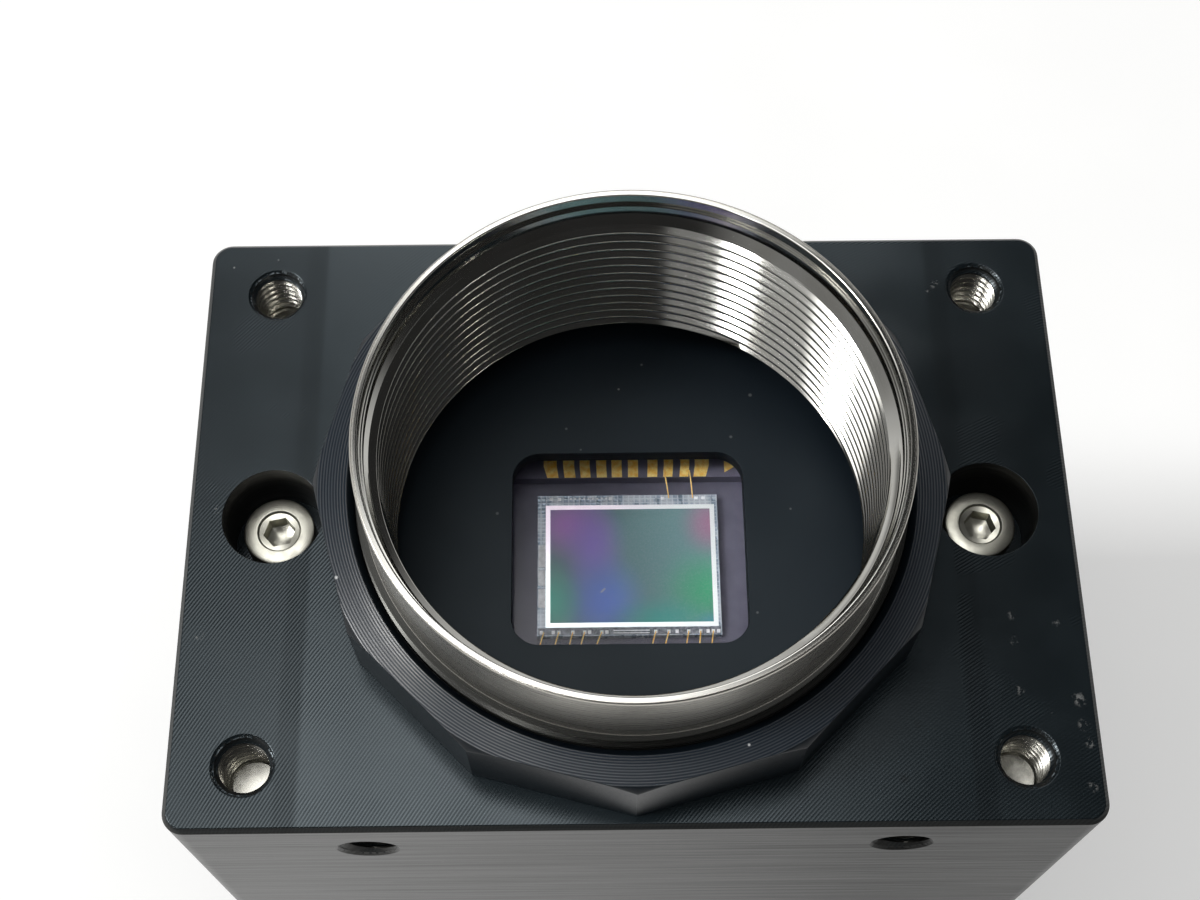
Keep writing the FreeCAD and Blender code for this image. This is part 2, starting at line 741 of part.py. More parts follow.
def make_sensor_package():
    """The ceramic package: base, die cavity, two bond shelves and the rim for the glass."""
    body = new_body("SensorPackage")
    outline = new_sketch(body, "PackageOutline", package_bottom)
    draw_rectangle(outline, dim.package_width, dim.package_height)
    pad(body, outline, package_top - package_bottom)
    well = new_sketch(body, "ShelfWell", package_top)
    draw_rectangle(well, dim.cavity_width, dim.shelf_height)
    pocket(body, well, dim.package_rise - dim.shelf_rise)
    cavity = new_sketch(body, "DieCavity", package_top)
    draw_rectangle(cavity, dim.cavity_width, dim.cavity_height)
    pocket(body, cavity, dim.package_rise + dim.die_thickness)
    return keep(body, "sensor_package")


def lead_places():
    """Where each lead leaves the package: two rows, one along each wide edge."""
    columns = [(column - (LEADS_IN_ROW - 1) / 2) * dim.lead_pitch
               for column in range(LEADS_IN_ROW)]
    return [(x, sign * lead_row) for sign in (1, -1) for x in columns]


def make_sensor_leads():
    """Two rows of flat leads under the package, through the sensor board."""
    leads = [box(f"Lead{number}", dim.lead_width, dim.lead_sheet, dim.lead_length, x, y,
                 package_bottom - dim.lead_length)
             for number, (x, y) in enumerate(lead_places(), start=1)]
    return keep(group("SensorLeads", leads), "sensor_leads")


def make_sensor_stack():
    """Die, cover glass, and the gasket that seals the glass to the mask."""
    keep(box("SensorDie", dim.die_width, dim.die_height, dim.die_thickness,
             z=image_plane - dim.die_thickness), "sensor_die")
    keep(box("CoverGlass", dim.glass_width, dim.glass_height, dim.glass_thickness,
             z=package_top), "cover_glass")
    frame = box("GasketFrame", dim.glass_width, dim.glass_height, mask_bottom - glass_top,
                z=glass_top)
    opening = box("GasketWindow", dim.window_width + dim.gasket_margin,
                  dim.window_height + dim.gasket_margin,
                  mask_bottom - glass_top + 2 * TOOL_REACH, z=glass_top - TOOL_REACH)
    keep(cut("DustGasket", frame, opening), "dust_gasket")


def make_sensor_carrier():
    """The frame round the sensor, which the clamp screws pull up behind the mask."""
    body = new_body("SensorCarrier")
    outline = new_sketch(body, "CarrierOutline", package_bottom)
    draw_notched_rectangle(outline, inner_width - 2 * dim.fit_gap, inner_height - 2 * dim.fit_gap,
                           dim.boss_size)
    thickness = mask_bottom - package_bottom
    pad(body, outline, thickness)
    opening = new_sketch(body, "CarrierOpening", mask_bottom)
    draw_rectangle(opening, dim.package_width + 2 * dim.fit_gap,
                   dim.package_height + 2 * dim.fit_gap)
    pocket(body, opening, thickness)
    threads = new_sketch(body, "CarrierThreads", mask_bottom)
    draw_circles(threads, dim.clamp_shank + dim.thread_clearance, clamp_x, 0,
                 [(1, 1), (-1, 1)])
    draw_circles(threads, dim.stack_shank + dim.thread_clearance, stack_x, stack_y,
                 CORNERS)
    pocket(body, threads, thickness)
    return keep(body, "sensor_carrier")


# ---------------------------------------------------------------- circuit boards

def board_body(name, bottom, thickness):
    """A circuit board notched round the corner bosses, with the four stack holes."""
    body = new_body(name)
    outline = new_sketch(body, name + "Outline", bottom)
    draw_notched_rectangle(outline, inner_width - 4 * dim.fit_gap, inner_height - 4 * dim.fit_gap,
                           dim.boss_size)
    pad(body, outline, thickness)
    holes = new_sketch(body, name + "StackHoles", bottom + thickness)
    draw_circles(holes, dim.stack_shank + dim.hole_clearance, stack_x, stack_y, CORNERS)
    pocket(body, holes, thickness)
    return body


def make_sensor_board():
    body = board_body("SensorBoard", sensor_board_bottom, dim.board_thickness)
    slots = new_sketch(body, "LeadSlots", package_bottom)
    for x, y in lead_places():
        draw_rectangle(slots, dim.lead_width + 2 * dim.lead_clearance,
                       dim.lead_sheet + 2 * dim.lead_clearance, x, y)
    pocket(body, slots, dim.board_thickness)
    return keep(body, "sensor_board")


def make_processor_board():
    """The middle board, with its chips underneath."""
    keep(board_body("ProcessorBoard", processor_board_bottom, dim.board_thickness),
         "processor_board")
    keep(box("ProcessorChip", dim.processor_size, dim.processor_size, dim.processor_rise,
             dim.processor_x, 0, processor_board_bottom - dim.processor_rise), "processor_chip")
    memory = [box(f"Memory{number}", dim.memory_width, dim.memory_height, dim.memory_rise,
                  dim.memory_x, sign * dim.memory_y, processor_board_bottom - dim.memory_rise)
              for number, sign in enumerate((-1, 1), start=1)]
    keep(group("MemoryChips", memory), "memory_chips")
    keep(box("Oscillator", dim.oscillator_width, dim.oscillator_height, dim.oscillator_rise,
             dim.oscillator_x, 0, processor_board_bottom - dim.oscillator_rise), "oscillator")


def make_interface_board():
    """The rear board, with the network parts and the power coils on top."""
    keep(board_body("InterfaceBoard", interface_board_bottom, dim.interface_thickness),
         "interface_board")
    keep(box("NetworkChip", dim.network_size, dim.network_size, dim.network_rise,
             dim.network_x, dim.network_y, interface_board_top), "network_chip")
    keep(box("Magnetics", dim.transformer_width, dim.transformer_height, dim.transformer_rise,
             dim.transformer_x, dim.transformer_y, interface_board_top), "network_transformer")
    coils = [box(f"Coil{number}", dim.coil_size, dim.coil_size, dim.coil_rise,
                 dim.coil_x + sign * dim.coil_pitch / 2, dim.coil_y, interface_board_top)
             for number, sign in enumerate((-1, 1), start=1)]
    keep(group("PowerCoils", coils), "power_coils")


def make_board_links():
    """Pairs of board connectors, each mated pair one block."""
    keep(box("FrontLink", dim.link_width, dim.link_height, dim.front_spacing, 0, link_y,
             processor_board_top), "front_board_connector")
    keep(box("RearLink", dim.link_width, dim.link_height, rear_spacing, 0, link_y,
             interface_board_top), "rear_board_connector")


def make_spacers(name, label, bottom, length):
    """Four six-sided spacers on the stack screws, between two boards."""
    tubes = []
    for number, (sign_x, sign_y) in enumerate(CORNERS, start=1):
        x, y = sign_x * stack_x, sign_y * stack_y
        outer = prism(f"{name}Outer{number}", 6, dim.spacer_corner, length, x, y, bottom)
        bore = cylinder(f"{name}Bore{number}", dim.stack_shank + dim.hole_clearance,
                        length + 2 * TOOL_REACH, x, y, bottom - TOOL_REACH)
        tubes.append(cut(f"{name}{number}", outer, bore))
    return keep(group(name + "Set", tubes), label)


def make_stack_screws():
    """Four long screws through all three boards, into the sensor carrier."""
    length = package_bottom + dim.stack_bite - interface_board_bottom
    screws = []
    for number, (sign_x, sign_y) in enumerate(CORNERS, start=1):
        x, y = sign_x * stack_x, sign_y * stack_y
        screws.append(fuse(f"StackScrew{number}", [
            cylinder(f"StackHead{number}", dim.stack_head, dim.stack_head_height, x, y,
                     interface_board_bottom - dim.stack_head_height),
            cylinder(f"StackShank{number}", dim.stack_shank, length, x, y,
                     interface_board_bottom),
        ]))
    return keep(group("StackScrews", screws), "stack_screws")


# ---------------------------------------------------------------- rear connectors

def make_ethernet_jack():
    """A shielded jack: sheet metal shell, moulded insert with the plug cavity, eight contacts."""
    shell = box("ShieldOuter", dim.jack_width, dim.jack_height, dim.jack_depth,
                dim.jack_x, 0, dim.jack_inset)
    inside = box("ShieldInside", dim.jack_width - 2 * dim.shield_sheet,
                 dim.jack_height - 2 * dim.shield_sheet, dim.jack_depth,
                 dim.jack_x, 0, dim.jack_inset - dim.shield_sheet)
    keep(cut("JackShield", shell, inside), "jack_shield")

    margin = dim.shield_sheet + dim.insert_slack
    block = box("InsertBlock", dim.jack_width - 2 * margin, dim.jack_height - 2 * margin,
                dim.jack_depth - margin, dim.jack_x, 0, dim.jack_inset)
    tool_low = dim.jack_inset - TOOL_REACH
    tool_depth = dim.plug_depth + TOOL_REACH
    latch_y = dim.plug_y + dim.plug_height / 2 + (dim.latch_height - TOOL_REACH) / 2
    cavity = fuse("PlugCavity", [
        box("PlugSpace", dim.plug_width, dim.plug_height, tool_depth, dim.jack_x, dim.plug_y,
            tool_low),
        box("LatchSpace", dim.latch_width, dim.latch_height + TOOL_REACH, tool_depth, dim.jack_x,
            latch_y, tool_low),
    ])
    keep(cut("JackInsert", block, cavity), "jack_insert")

    floor = dim.plug_y - dim.plug_height / 2
    contacts = []
    for number in range(JACK_CONTACTS):
        x = dim.jack_x + (number - (JACK_CONTACTS - 1) / 2) * dim.contact_pitch
        leaf = box(f"Contact{number + 1}", dim.contact_width, dim.contact_sheet,
                   dim.contact_length, x, floor + dim.contact_rise,
                   dim.jack_inset + dim.contact_inset)
        leaf.Placement.Rotation = FreeCAD.Rotation(FreeCAD.Vector(1, 0, 0), -CONTACT_SLOPE)
        contacts.append(leaf)
    keep(group("JackContacts", contacts), "jack_contacts")


def make_receptacle():
    """The round power and trigger receptacle: shell with flange, insert and six pins."""
    body = new_body("PortShell")
    profile = new_sketch(body, "PortProfile", 0, "XZ_Plane")
    low = dim.jack_inset
    flange_low = dim.rear_wall
    flange_high = flange_low + dim.port_flange_thickness
    high = low + dim.port_length
    draw_outline(profile, [
        (dim.port_bore, low), (dim.port_radius, low), (dim.port_radius, flange_low),
        (dim.port_flange, flange_low), (dim.port_flange, flange_high),
        (dim.port_radius, flange_high), (dim.port_radius, high), (dim.port_bore, high),
    ])
    revolve(body, profile)
    insert_bottom = low + dim.port_insert_depth
    key = new_sketch(body, "PortKey", low)
    shell_middle = (dim.port_bore + dim.port_radius) / 2
    key_inside = dim.port_bore - dim.key_rise
    draw_rectangle(key, dim.key_width, shell_middle - key_inside, 0,
                   (shell_middle + key_inside) / 2)
    pad(body, key, dim.port_insert_depth - dim.port_slack)
    place(body, dim.port_x, dim.port_y)
    keep(body, "port_shell")

    disc = cylinder("PortDisc", dim.port_bore - dim.port_slack, high - insert_bottom, dim.port_x,
                    dim.port_y, insert_bottom)
    bores = []
    pins = []
    pin_bottom = insert_bottom - dim.pin_proud
    for number in range(1, PORT_PINS + 1):
        angle = math.radians(number * 360 / PORT_PINS)
        x = dim.port_x + math.cos(angle) * dim.pin_circle
        y = dim.port_y + math.sin(angle) * dim.pin_circle
        bores.append(cylinder(f"PinBore{number}", dim.pin_radius + dim.port_slack,
                              high - insert_bottom + 2 * TOOL_REACH, x, y,
                              insert_bottom - TOOL_REACH))
        pins.append(cylinder(f"Pin{number}", dim.pin_radius, interface_board_bottom - pin_bottom,
                             x, y, pin_bottom))
    keep(cut("PortInsert", disc, fuse("PinBores", bores)), "port_insert")
    keep(group("PortPins", pins), "port_pins")


def make_status_light():
    """A light pipe from the rear wall to the chip on the interface board."""
    face = dim.jack_inset
    end = interface_board_bottom - dim.light_chip_rise
    keep(fuse("LightPipe", [
        cylinder("PipeStem", dim.light_radius, end - face, dim.light_x, dim.light_y, face),
        cylinder("PipeFlange", dim.light_flange, dim.light_flange_thickness, dim.light_x,
                 dim.light_y, dim.rear_wall),
    ]), "light_pipe")
    keep(box("LightChip", dim.light_chip_width, dim.light_chip_height, dim.light_chip_rise,
             dim.light_x, dim.light_y, end), "light_chip")


def make_cover_screws():
    """Four long cap screws from the rear, through the bosses into the front housing."""
    screws = []
    seat = dim.cover_seat
    length = seam + dim.seal_thickness + dim.cover_bite - seat
    for number, (sign_x, sign_y) in enumerate(CORNERS, start=1):
        screws.append(cap_screw(f"CoverScrew{number}", sign_x * cover_x, sign_y * cover_y, seat,
                                dim.cover_head, dim.cover_head_height, dim.cover_shank, length,
                                rearward=True))
    return keep(group("CoverScrews", screws), "cover_screws")


make_front_housing()
make_rear_cover()
make_body_gasket()
make_mount_ring()
make_lock_ring()
make_clamp_screws()
make_sensor_package()
make_sensor_leads()
make_sensor_stack()
make_sensor_carrier()
make_sensor_board()
make_processor_board()
make_interface_board()
make_board_links()
make_spacers("FrontSpacer", "front_spacers", processor_board_top, dim.front_spacing)
make_spacers("RearSpacer", "rear_spacers", interface_board_top, rear_spacing)
make_stack_screws()
make_ethernet_jack()
make_receptacle()
make_status_light()
make_cover_screws()
doc.recompute()

for item in doc.Objects:
    if "Invalid" in item.State or "Error" in item.State:
        raise RuntimeError(f"{item.Label}: {item.State}")
for item in subparts:
    if item.Shape.isNull() or not item.Shape.isValid() or not item.Shape.Solids:
        raise RuntimeError(f"{item.Label} has no sound shape")

os.makedirs("parts", exist_ok=True)
for item in subparts:
    item.Shape.exportStep(f"parts/{item.Label}.step")
print(len(subparts), "sub-parts,", sum(len(item.Shape.Solids) for item in subparts), "solids")
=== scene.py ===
import math

import bmesh
import bpy
from mathutils import Matrix, Vector


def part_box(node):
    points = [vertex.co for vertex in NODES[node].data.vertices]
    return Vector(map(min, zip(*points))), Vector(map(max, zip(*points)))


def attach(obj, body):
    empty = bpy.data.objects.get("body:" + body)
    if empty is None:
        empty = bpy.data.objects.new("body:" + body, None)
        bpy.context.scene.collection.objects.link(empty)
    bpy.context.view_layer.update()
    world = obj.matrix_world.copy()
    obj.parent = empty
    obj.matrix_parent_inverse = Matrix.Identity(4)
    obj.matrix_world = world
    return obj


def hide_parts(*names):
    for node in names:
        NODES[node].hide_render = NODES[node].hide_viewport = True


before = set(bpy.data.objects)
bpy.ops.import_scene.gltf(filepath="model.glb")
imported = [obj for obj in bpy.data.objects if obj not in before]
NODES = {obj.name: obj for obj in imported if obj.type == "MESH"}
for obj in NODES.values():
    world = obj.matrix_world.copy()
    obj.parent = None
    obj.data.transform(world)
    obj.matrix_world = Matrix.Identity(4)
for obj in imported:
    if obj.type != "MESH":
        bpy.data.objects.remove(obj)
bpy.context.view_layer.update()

# Machine vision camera, seen from above its lens mount.
# Shapes are built in millimetres in the part's own frame: the camera stands on its rear face,
# Z is the optical axis and the front face looks up. Form.piece() scales them to metres.

MM = 0.001


def box_mm(node):
    """Lowest and highest corner of a CAD node, in millimetres."""
    low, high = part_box(node)
    return low / MM, high / MM


HOUSING_HIGH = box_mm("front_housing")[1]
RING_LOW, RING_HIGH = box_mm("mount_ring")
DIE_LOW, DIE_HIGH = box_mm("sensor_die")
CLAMP_LOW, CLAMP_HIGH = box_mm("clamp_screws")
COVER_LOW, COVER_HIGH = box_mm("cover_screws")

FRONT = HOUSING_HIGH.z
HALF_HEIGHT = HOUSING_HIGH.y
FLANGE = RING_HIGH.z

# housing: radii, depths and the places of holes, as in the CAD
SEAT_RADIUS = 13.8
HOLE_X, HOLE_Y = 19.2, 13.2
SIDE_HOLE_X, SIDE_HOLE_DROP = 13.35, 3.8
TAP_CORE, TAP_MAJOR, TAP_PITCH = 1.25, 1.5, 0.5
TAP_DEPTH, TAP_MOUTH, TAP_LIP, TAP_SLEEVE = 4.0, 1.6, 0.05, 1.78
TAP_SHADE_DEPTH = 0.32       # how far below the countersink the thread is painted black, as shade in the hole's mouth
CLAMP_X = 18.6
COVER_X, COVER_Y = 19.9, 13.4

# mount ring: radii, and depths below its front face
COLLAR = 13.35
COLLAR_HEIGHT = 4.8
LIP, LIP_DEPTH = 12.98, 0.75
RELIEF, RELIEF_DEPTH = 12.82, 1.4
LENS_CREST, LENS_ROOT, LENS_PITCH = 12.27, 12.7, 0.794
OUTER_THREAD, OUTER_PITCH, OUTER_THREAD_DEPTH = 13.75, 0.5, 0.25
LENS_CREST_ROUND, LENS_ROOT_ROUND = 0.08, 0.05
RIM_BREAK = 0.1

# cap screws: both kinds are alike but for the head's radius
CLAMP_HEAD, COVER_HEAD = 1.88, 1.90
CAP_HEIGHT, CAP_SHANK, CAP_HEX, CAP_DISH = 2.0, 1.0, 0.87, 1.12

# marks of the tools
MILL_CENTRE, MILL_PITCH = (46.0, -52.0), 0.16
SIDE_PASS, PASS_OVERLAP = 16.5, 1.1    # where the mill's outer passes start, and their overlap
LATHE_PITCH = 0.14

# bevel widths of broken edges, and the angles in degrees from which an edge counts as sharp
HOUSING_BREAK, LOCK_BREAK = 0.05, 0.06
CORNER_ANGLE, SCREW_ANGLE, RING_ANGLE, WIRE_ANGLE = 25, 28, 44, 60

# wear: x, y, radius
SCUFFS = [(22.1, -10.3, 0.45), (22.2, -11.6, 0.40), (19.2, -7.2, 0.30), (19.2, -9.8, 0.30),
          (22.35, -12.5, 0.35), (22.2, -14.7, 0.35), (19.2, -5.9, 0.30), (21.4, -6.3, 0.25),
          (20.6, -10.9, 0.25), (-21.9, -6.5, 0.35), (-21.5, 0.4, 0.30),
          (16.6, 13.1, 0.35), (17.0, 13.5, 0.35), (18.5, -16.0, 0.20)]
NICKS = [(-14.1, 6.8, 0.10), (-14.4, -5.2, 0.12), (-14.5, -5.5, 0.10), (5.2, -13.7, 0.09)]
FIELD_MARK = [(-1.52, -1.62, 0.09), (-1.43, -1.54, 0.10), (-1.35, -1.46, 0.08)]
SMUDGES = [(13.1, -14.2, 0.35), (14.0, -11.5, 0.25)]
MASK_DUST = [(0.9, 11.1, 0.10), (7.0, 9.1, 0.14), (-3.4, 7.1, 0.10), (5.8, 6.5, 0.12),
             (-7.2, 2.0, 0.12), (8.9, 2.1, 0.09), (6.8, -3.9, 0.10), (-2.6, 5.8, 0.08)]

# image sensor
SHELF_EDGE = 5.15
SHELF_TOP = DIE_HIGH.z + 0.25
ACTIVE = (-4.36, -3.43, 4.64, 3.32)    # left, low, right, high
BORDER = 0.26
FINGER_FILM = 0.03
WIRE_RADIUS, WIRE_ARCH = 0.036, 0.32


# ---------------------------------------------------------------- node trees

class Nodes:
    """A node tree of a material or the world, built by short calls."""

    def __init__(self, owner):
        owner.use_nodes = True
        self.tree = owner.node_tree
        self.tree.nodes.clear()

    def add(self, kind, **settings):
        node = self.tree.nodes.new(kind)
        for name, value in settings.items():
            setattr(node, name, value)
        return node

    def feed(self, socket, value):
        if isinstance(value, bpy.types.NodeSocket):
            self.tree.links.new(value, socket)
        elif hasattr(value, "__len__") and len(value) == 3 and socket.type == "RGBA":
            socket.default_value = (*value, 1)
        else:
            socket.default_value = value

    def math(self, operation, *values):
        node = self.add("ShaderNodeMath", operation=operation)
        for socket, value in zip(node.inputs, values):
            self.feed(socket, value)
        return node.outputs[0]

    def plus(self, first, second):
        return self.math("ADD", first, second)

    def times(self, first, second):
        return self.math("MULTIPLY", first, second)

    def split(self, vector):
        node = self.add("ShaderNodeSeparateXYZ")
        self.feed(node.inputs[0], vector)
        return node.outputs[0], node.outputs[1], node.outputs[2]

    def join(self, x, y, z):
        node = self.add("ShaderNodeCombineXYZ")
        for socket, value in zip(node.inputs, (x, y, z)):
            self.feed(socket, value)
        return node.outputs[0]

    def distance(self, x, y, centre):
        """How far a place is from a centre in the plane of x and y."""
        along = self.math("SUBTRACT", x, centre[0])
        across = self.math("SUBTRACT", y, centre[1])
        return self.math("SQRT", self.plus(self.times(along, along), self.times(across, across)))

    def rise(self, value, start, end, low=0.0, high=1.0):
        """From low to high as the value goes from start to end, smoothly."""
        node = self.add("ShaderNodeMapRange", interpolation_type="SMOOTHSTEP")
        for name, number in (("Value", value), ("From Min", start), ("From Max", end),
                             ("To Min", low), ("To Max", high)):
            self.feed(node.inputs[name], number)
        return node.outputs[0]

    def noise(self, vector, scale, detail=2.0, roughness=0.5):
        node = self.add("ShaderNodeTexNoise")
        self.feed(node.inputs["Vector"], vector)
        node.inputs["Scale"].default_value = scale
        node.inputs["Detail"].default_value = detail
        node.inputs["Roughness"].default_value = roughness
        return node.outputs[0]

    def waves(self, value, pitch):
        """A sine of a length, from -1 to 1."""
        return self.math("SINE", self.times(value, 2 * math.pi / pitch))

    def patches(self, x, y, spots):
        """1 in the middle of each (x, y, radius) spot, fading to 0 at its radius."""
        total = 0.0
        for centre_x, centre_y, radius in spots:
            away = self.distance(x, y, (centre_x, centre_y))
            total = self.math("MAXIMUM", total, self.rise(away, radius, radius * 0.3))
        return total

    def blend(self, share, first, second):
        """Between two numbers."""
        node = self.add("ShaderNodeMix", data_type="FLOAT")
        self.feed(node.inputs[0], share)
        self.feed(node.inputs[2], first)
        self.feed(node.inputs[3], second)
        return node.outputs[0]

    def mix(self, share, first, second):
        """Between two colours."""
        node = self.add("ShaderNodeMix", data_type="RGBA")
        self.feed(node.inputs[0], share)
        self.feed(node.inputs[6], first)
        self.feed(node.inputs[7], second)
        return node.outputs[2]

    def seen(self):
        """1 for rays from the eye, from mirrors and through glass, 0 for those of matt things."""
        rays = self.add("ShaderNodeLightPath").outputs
        direct = self.math("MAXIMUM", rays["Is Camera Ray"], rays["Is Glossy Ray"])
        return self.math("MAXIMUM", direct, rays["Is Transmission Ray"])


class Surface(Nodes):
    """The node tree of one material. Places are in millimetres."""

    def __init__(self, name):
        self.material = bpy.data.materials.new(name)
        super().__init__(self.material)
        self.output = self.add("ShaderNodeOutputMaterial")
        self.coordinates = self.add("ShaderNodeTexCoord")
        place = self.add("ShaderNodeVectorMath", operation="SCALE")
        place.inputs["Scale"].default_value = 1 / MM
        self.feed(place.inputs[0], self.coordinates.outputs["Object"])
        self.place = place.outputs[0]

    def stretched(self, x, y, z):
        """The place, scaled along each axis."""
        node = self.add("ShaderNodeVectorMath", operation="MULTIPLY")
        self.feed(node.inputs[0], self.place)
        node.inputs[1].default_value = (x, y, z)
        return node.outputs[0]

    def facing(self):
        """The surface's own normal, as three numbers."""
        return self.split(self.coordinates.outputs["Normal"])

    def around_axis(self):
        """The direction round the optical axis, along which a lathe leaves its lines."""
        return self.add("ShaderNodeTangent", direction_type="RADIAL", axis="Z").outputs[0]

    def specks(self, scale, radius, share):
        """Round specks: 1 inside. scale is cells a millimetre, radius in cells, share of cells."""
        node = self.add("ShaderNodeTexVoronoi")
        self.feed(node.inputs["Vector"], self.place)
        node.inputs["Scale"].default_value = scale
        inside = self.rise(node.outputs["Distance"], radius, radius * 0.5)
        pick = self.add("ShaderNodeSeparateColor")
        self.feed(pick.inputs[0], node.outputs["Color"])
        return self.times(inside, self.rise(pick.outputs[0], 1 - share, 1 - share + 0.01))

    def bump(self, height, depth):
        """A bump whose height of 1 stands depth millimetres."""
        node = self.add("ShaderNodeBump")
        node.inputs["Strength"].default_value = 1.0
        node.inputs["Distance"].default_value = depth * MM
        self.feed(node.inputs["Height"], height)
        return node.outputs[0]

    def principled(self, colour, roughness, metallic=0.0, normal=None, **sockets):
        node = self.add("ShaderNodeBsdfPrincipled")
        self.feed(node.inputs["Base Color"], colour)
        self.feed(node.inputs["Roughness"], roughness)
        self.feed(node.inputs["Metallic"], metallic)
        if normal is not None:
            self.feed(node.inputs["Normal"], normal)
        for name, value in sockets.items():
            self.feed(node.inputs[name.replace("_", " ")], value)
        self.show(node)
        return node

    def show(self, shader):
        """Makes a shader the one that is seen."""
        self.feed(self.output.inputs["Surface"], shader.outputs[0])


# ---------------------------------------------------------------- materials

def anodised_housing():
    """Black anodised aluminium: face-milled hatch in front, sawn streaks down the sides."""
    s = Surface("black_anodised_housing")
    x, y, z = s.split(s.place)
    away = s.math("ABSOLUTE", x)
    flat = s.rise(s.math("ABSOLUTE", s.facing()[2]), 0.6, 0.9)
    upright = s.math("SUBTRACT", 1.0, flat)
    cloud = s.noise(s.place, 0.25, 3.0)
    grain = s.noise(s.place, 9.0, 2.0)

    inside_seat = s.rise(s.distance(x, y, (0, 0)), SEAT_RADIUS, SEAT_RADIUS - 0.1)
    recess = s.times(inside_seat, s.rise(z, FRONT - 0.2, FRONT - 0.5))

    # marks of the face mill: fine arcs, and passes whose overlaps show as darker bands
    hatch = s.waves(s.distance(x, y, MILL_CENTRE), MILL_PITCH)
    uneven = s.rise(s.noise(s.place, 0.22, 2.0), 0.3, 0.7, 0.6, 1.2)
    hatch = s.times(s.times(hatch, uneven), s.math("SUBTRACT", 1.0, recess))
    blur = 0.2
    side_pass = s.rise(away, SIDE_PASS - blur, SIDE_PASS + blur)
    pass_end = SIDE_PASS + PASS_OVERLAP
    overlap = s.times(side_pass, s.rise(away, pass_end + blur, pass_end - blur))
    face_tone = s.plus(1.0, s.plus(s.times(side_pass, -0.22), s.times(overlap, -0.16)))
    face_tone = s.times(face_tone, s.rise(cloud, 0.3, 0.7, 0.86, 1.12))
    face_tone = s.times(face_tone, s.plus(1.0, s.times(hatch, 0.15)))

    # the sides: streaks along the saw's path, round the body
    streaks = s.noise(s.stretched(0.05, 0.05, 5.0), 1.0, 8.0, 0.75)
    side_tone = s.rise(streaks, 0.3, 0.7, 0.35, 1.55)

    none = (0.0, 0.0, 0.0)
    face = s.mix(face_tone, none, (0.0052, 0.0088, 0.0110))
    side = s.mix(side_tone, none, (0.0150, 0.0150, 0.0142))
    body = s.mix(flat, side, face)
    body = s.mix(recess, body, (0.0034, 0.0066, 0.0105))

    # wear and dust
    dust = s.specks(0.42, 0.035, 0.22)
    body = s.mix(s.times(dust, 0.8), body, (0.20, 0.20, 0.19))
    worn = s.times(s.patches(x, y, SCUFFS), s.rise(s.noise(s.place, 3.2, 5.0, 0.7), 0.51, 0.59))
    body = s.mix(s.times(s.times(worn, flat), 0.8), body, (0.16, 0.16, 0.155))
    body = s.mix(s.times(s.patches(x, y, SMUDGES), 0.75), body, (0.0010, 0.0016, 0.0020))
    lint = s.times(s.patches(x, y, MASK_DUST), s.times(flat, recess))
    body = s.mix(s.times(lint, 0.45), body, (0.20, 0.21, 0.21))

    face_rough = s.plus(s.rise(cloud, 0.3, 0.7, 0.19, 0.23), s.times(side_pass, 0.03))
    side_rough = s.rise(streaks, 0.3, 0.7, 0.38, 0.30)
    roughness = s.plus(s.blend(flat, side_rough, face_rough), s.times(recess, 0.26))
    # painted reflection: the sides' gloss falls from left to right, as the light on them does, and
    # varies with the saw's streaks
    painted_side_sheen = s.times(s.rise(x, -20.0, 16.0, 0.40, 0.06), s.rise(streaks, 0.35, 0.65, 0.7, 1.3))
    face_gloss = s.plus(s.plus(0.50, s.times(recess, -0.18)), s.times(hatch, 0.18))
    face_gloss = s.plus(face_gloss, s.plus(s.times(side_pass, -0.10), s.times(overlap, -0.05)))
    tint = s.mix(flat, (1.0, 1.0, 0.97), (0.82, 0.94, 1.0))
    height = s.plus(s.times(s.times(hatch, flat), 0.8), s.times(grain, 0.5))
    height = s.plus(height, s.times(s.times(streaks, 2.5), upright))
    s.principled(body, roughness, normal=s.bump(height, 0.002), Specular_Tint=tint,
                 Specular_IOR_Level=s.blend(flat, painted_side_sheen, face_gloss))
    return s.material


def anodised_lock_ring():
    """Black anodised aluminium, blue in the light, with the lathe's lines on its top face and painted
    shade on its flats.
    """
    s = Surface("black_anodised_lock_ring")
    x, y = s.split(s.place)[:2]
    radius = s.distance(x, y, (0, 0))
    top = s.rise(s.facing()[2], 0.8, 0.95)
    uneven = s.noise(s.join(radius, 0.0, 0.0), 1.3, 2.0)
    lines = s.times(s.waves(radius, LATHE_PITCH), s.rise(uneven, 0.3, 0.7, 0.3, 1.3))
    lines = s.times(lines, top)
    grain = s.noise(s.place, 8.0, 2.0)
    light = s.mix(s.rise(grain, 0.3, 0.7), (0.0050, 0.0105, 0.0180), (0.0072, 0.0132, 0.0210))
    # painted shade: the flats round the ring get a darker colour than its top
    body = s.mix(top, (0.0020, 0.0042, 0.0066), light)
    body = s.mix(s.rise(lines, 0.2, 1.0, 0.0, 0.12), body, (0.035, 0.037, 0.038))
    body = s.mix(s.times(s.patches(x, y, NICKS), top), body, (0.45, 0.46, 0.46))
    height = s.plus(s.times(lines, 2.2), s.times(grain, 0.4))
    # painted shade: the flats also get less gloss than the top
    specular = s.plus(s.rise(top, 0.0, 1.0, 0.08, 0.30), s.rise(lines, -0.5, 0.9, 0.0, 0.95))
    s.principled(body, s.rise(grain, 0.3, 0.7, 0.36, 0.40), normal=s.bump(height, 0.0030),
                 Specular_IOR_Level=specular, Anisotropic=s.times(top, 0.88),
                 Anisotropic_Rotation=0.25, Tangent=s.around_axis())
    return s.material


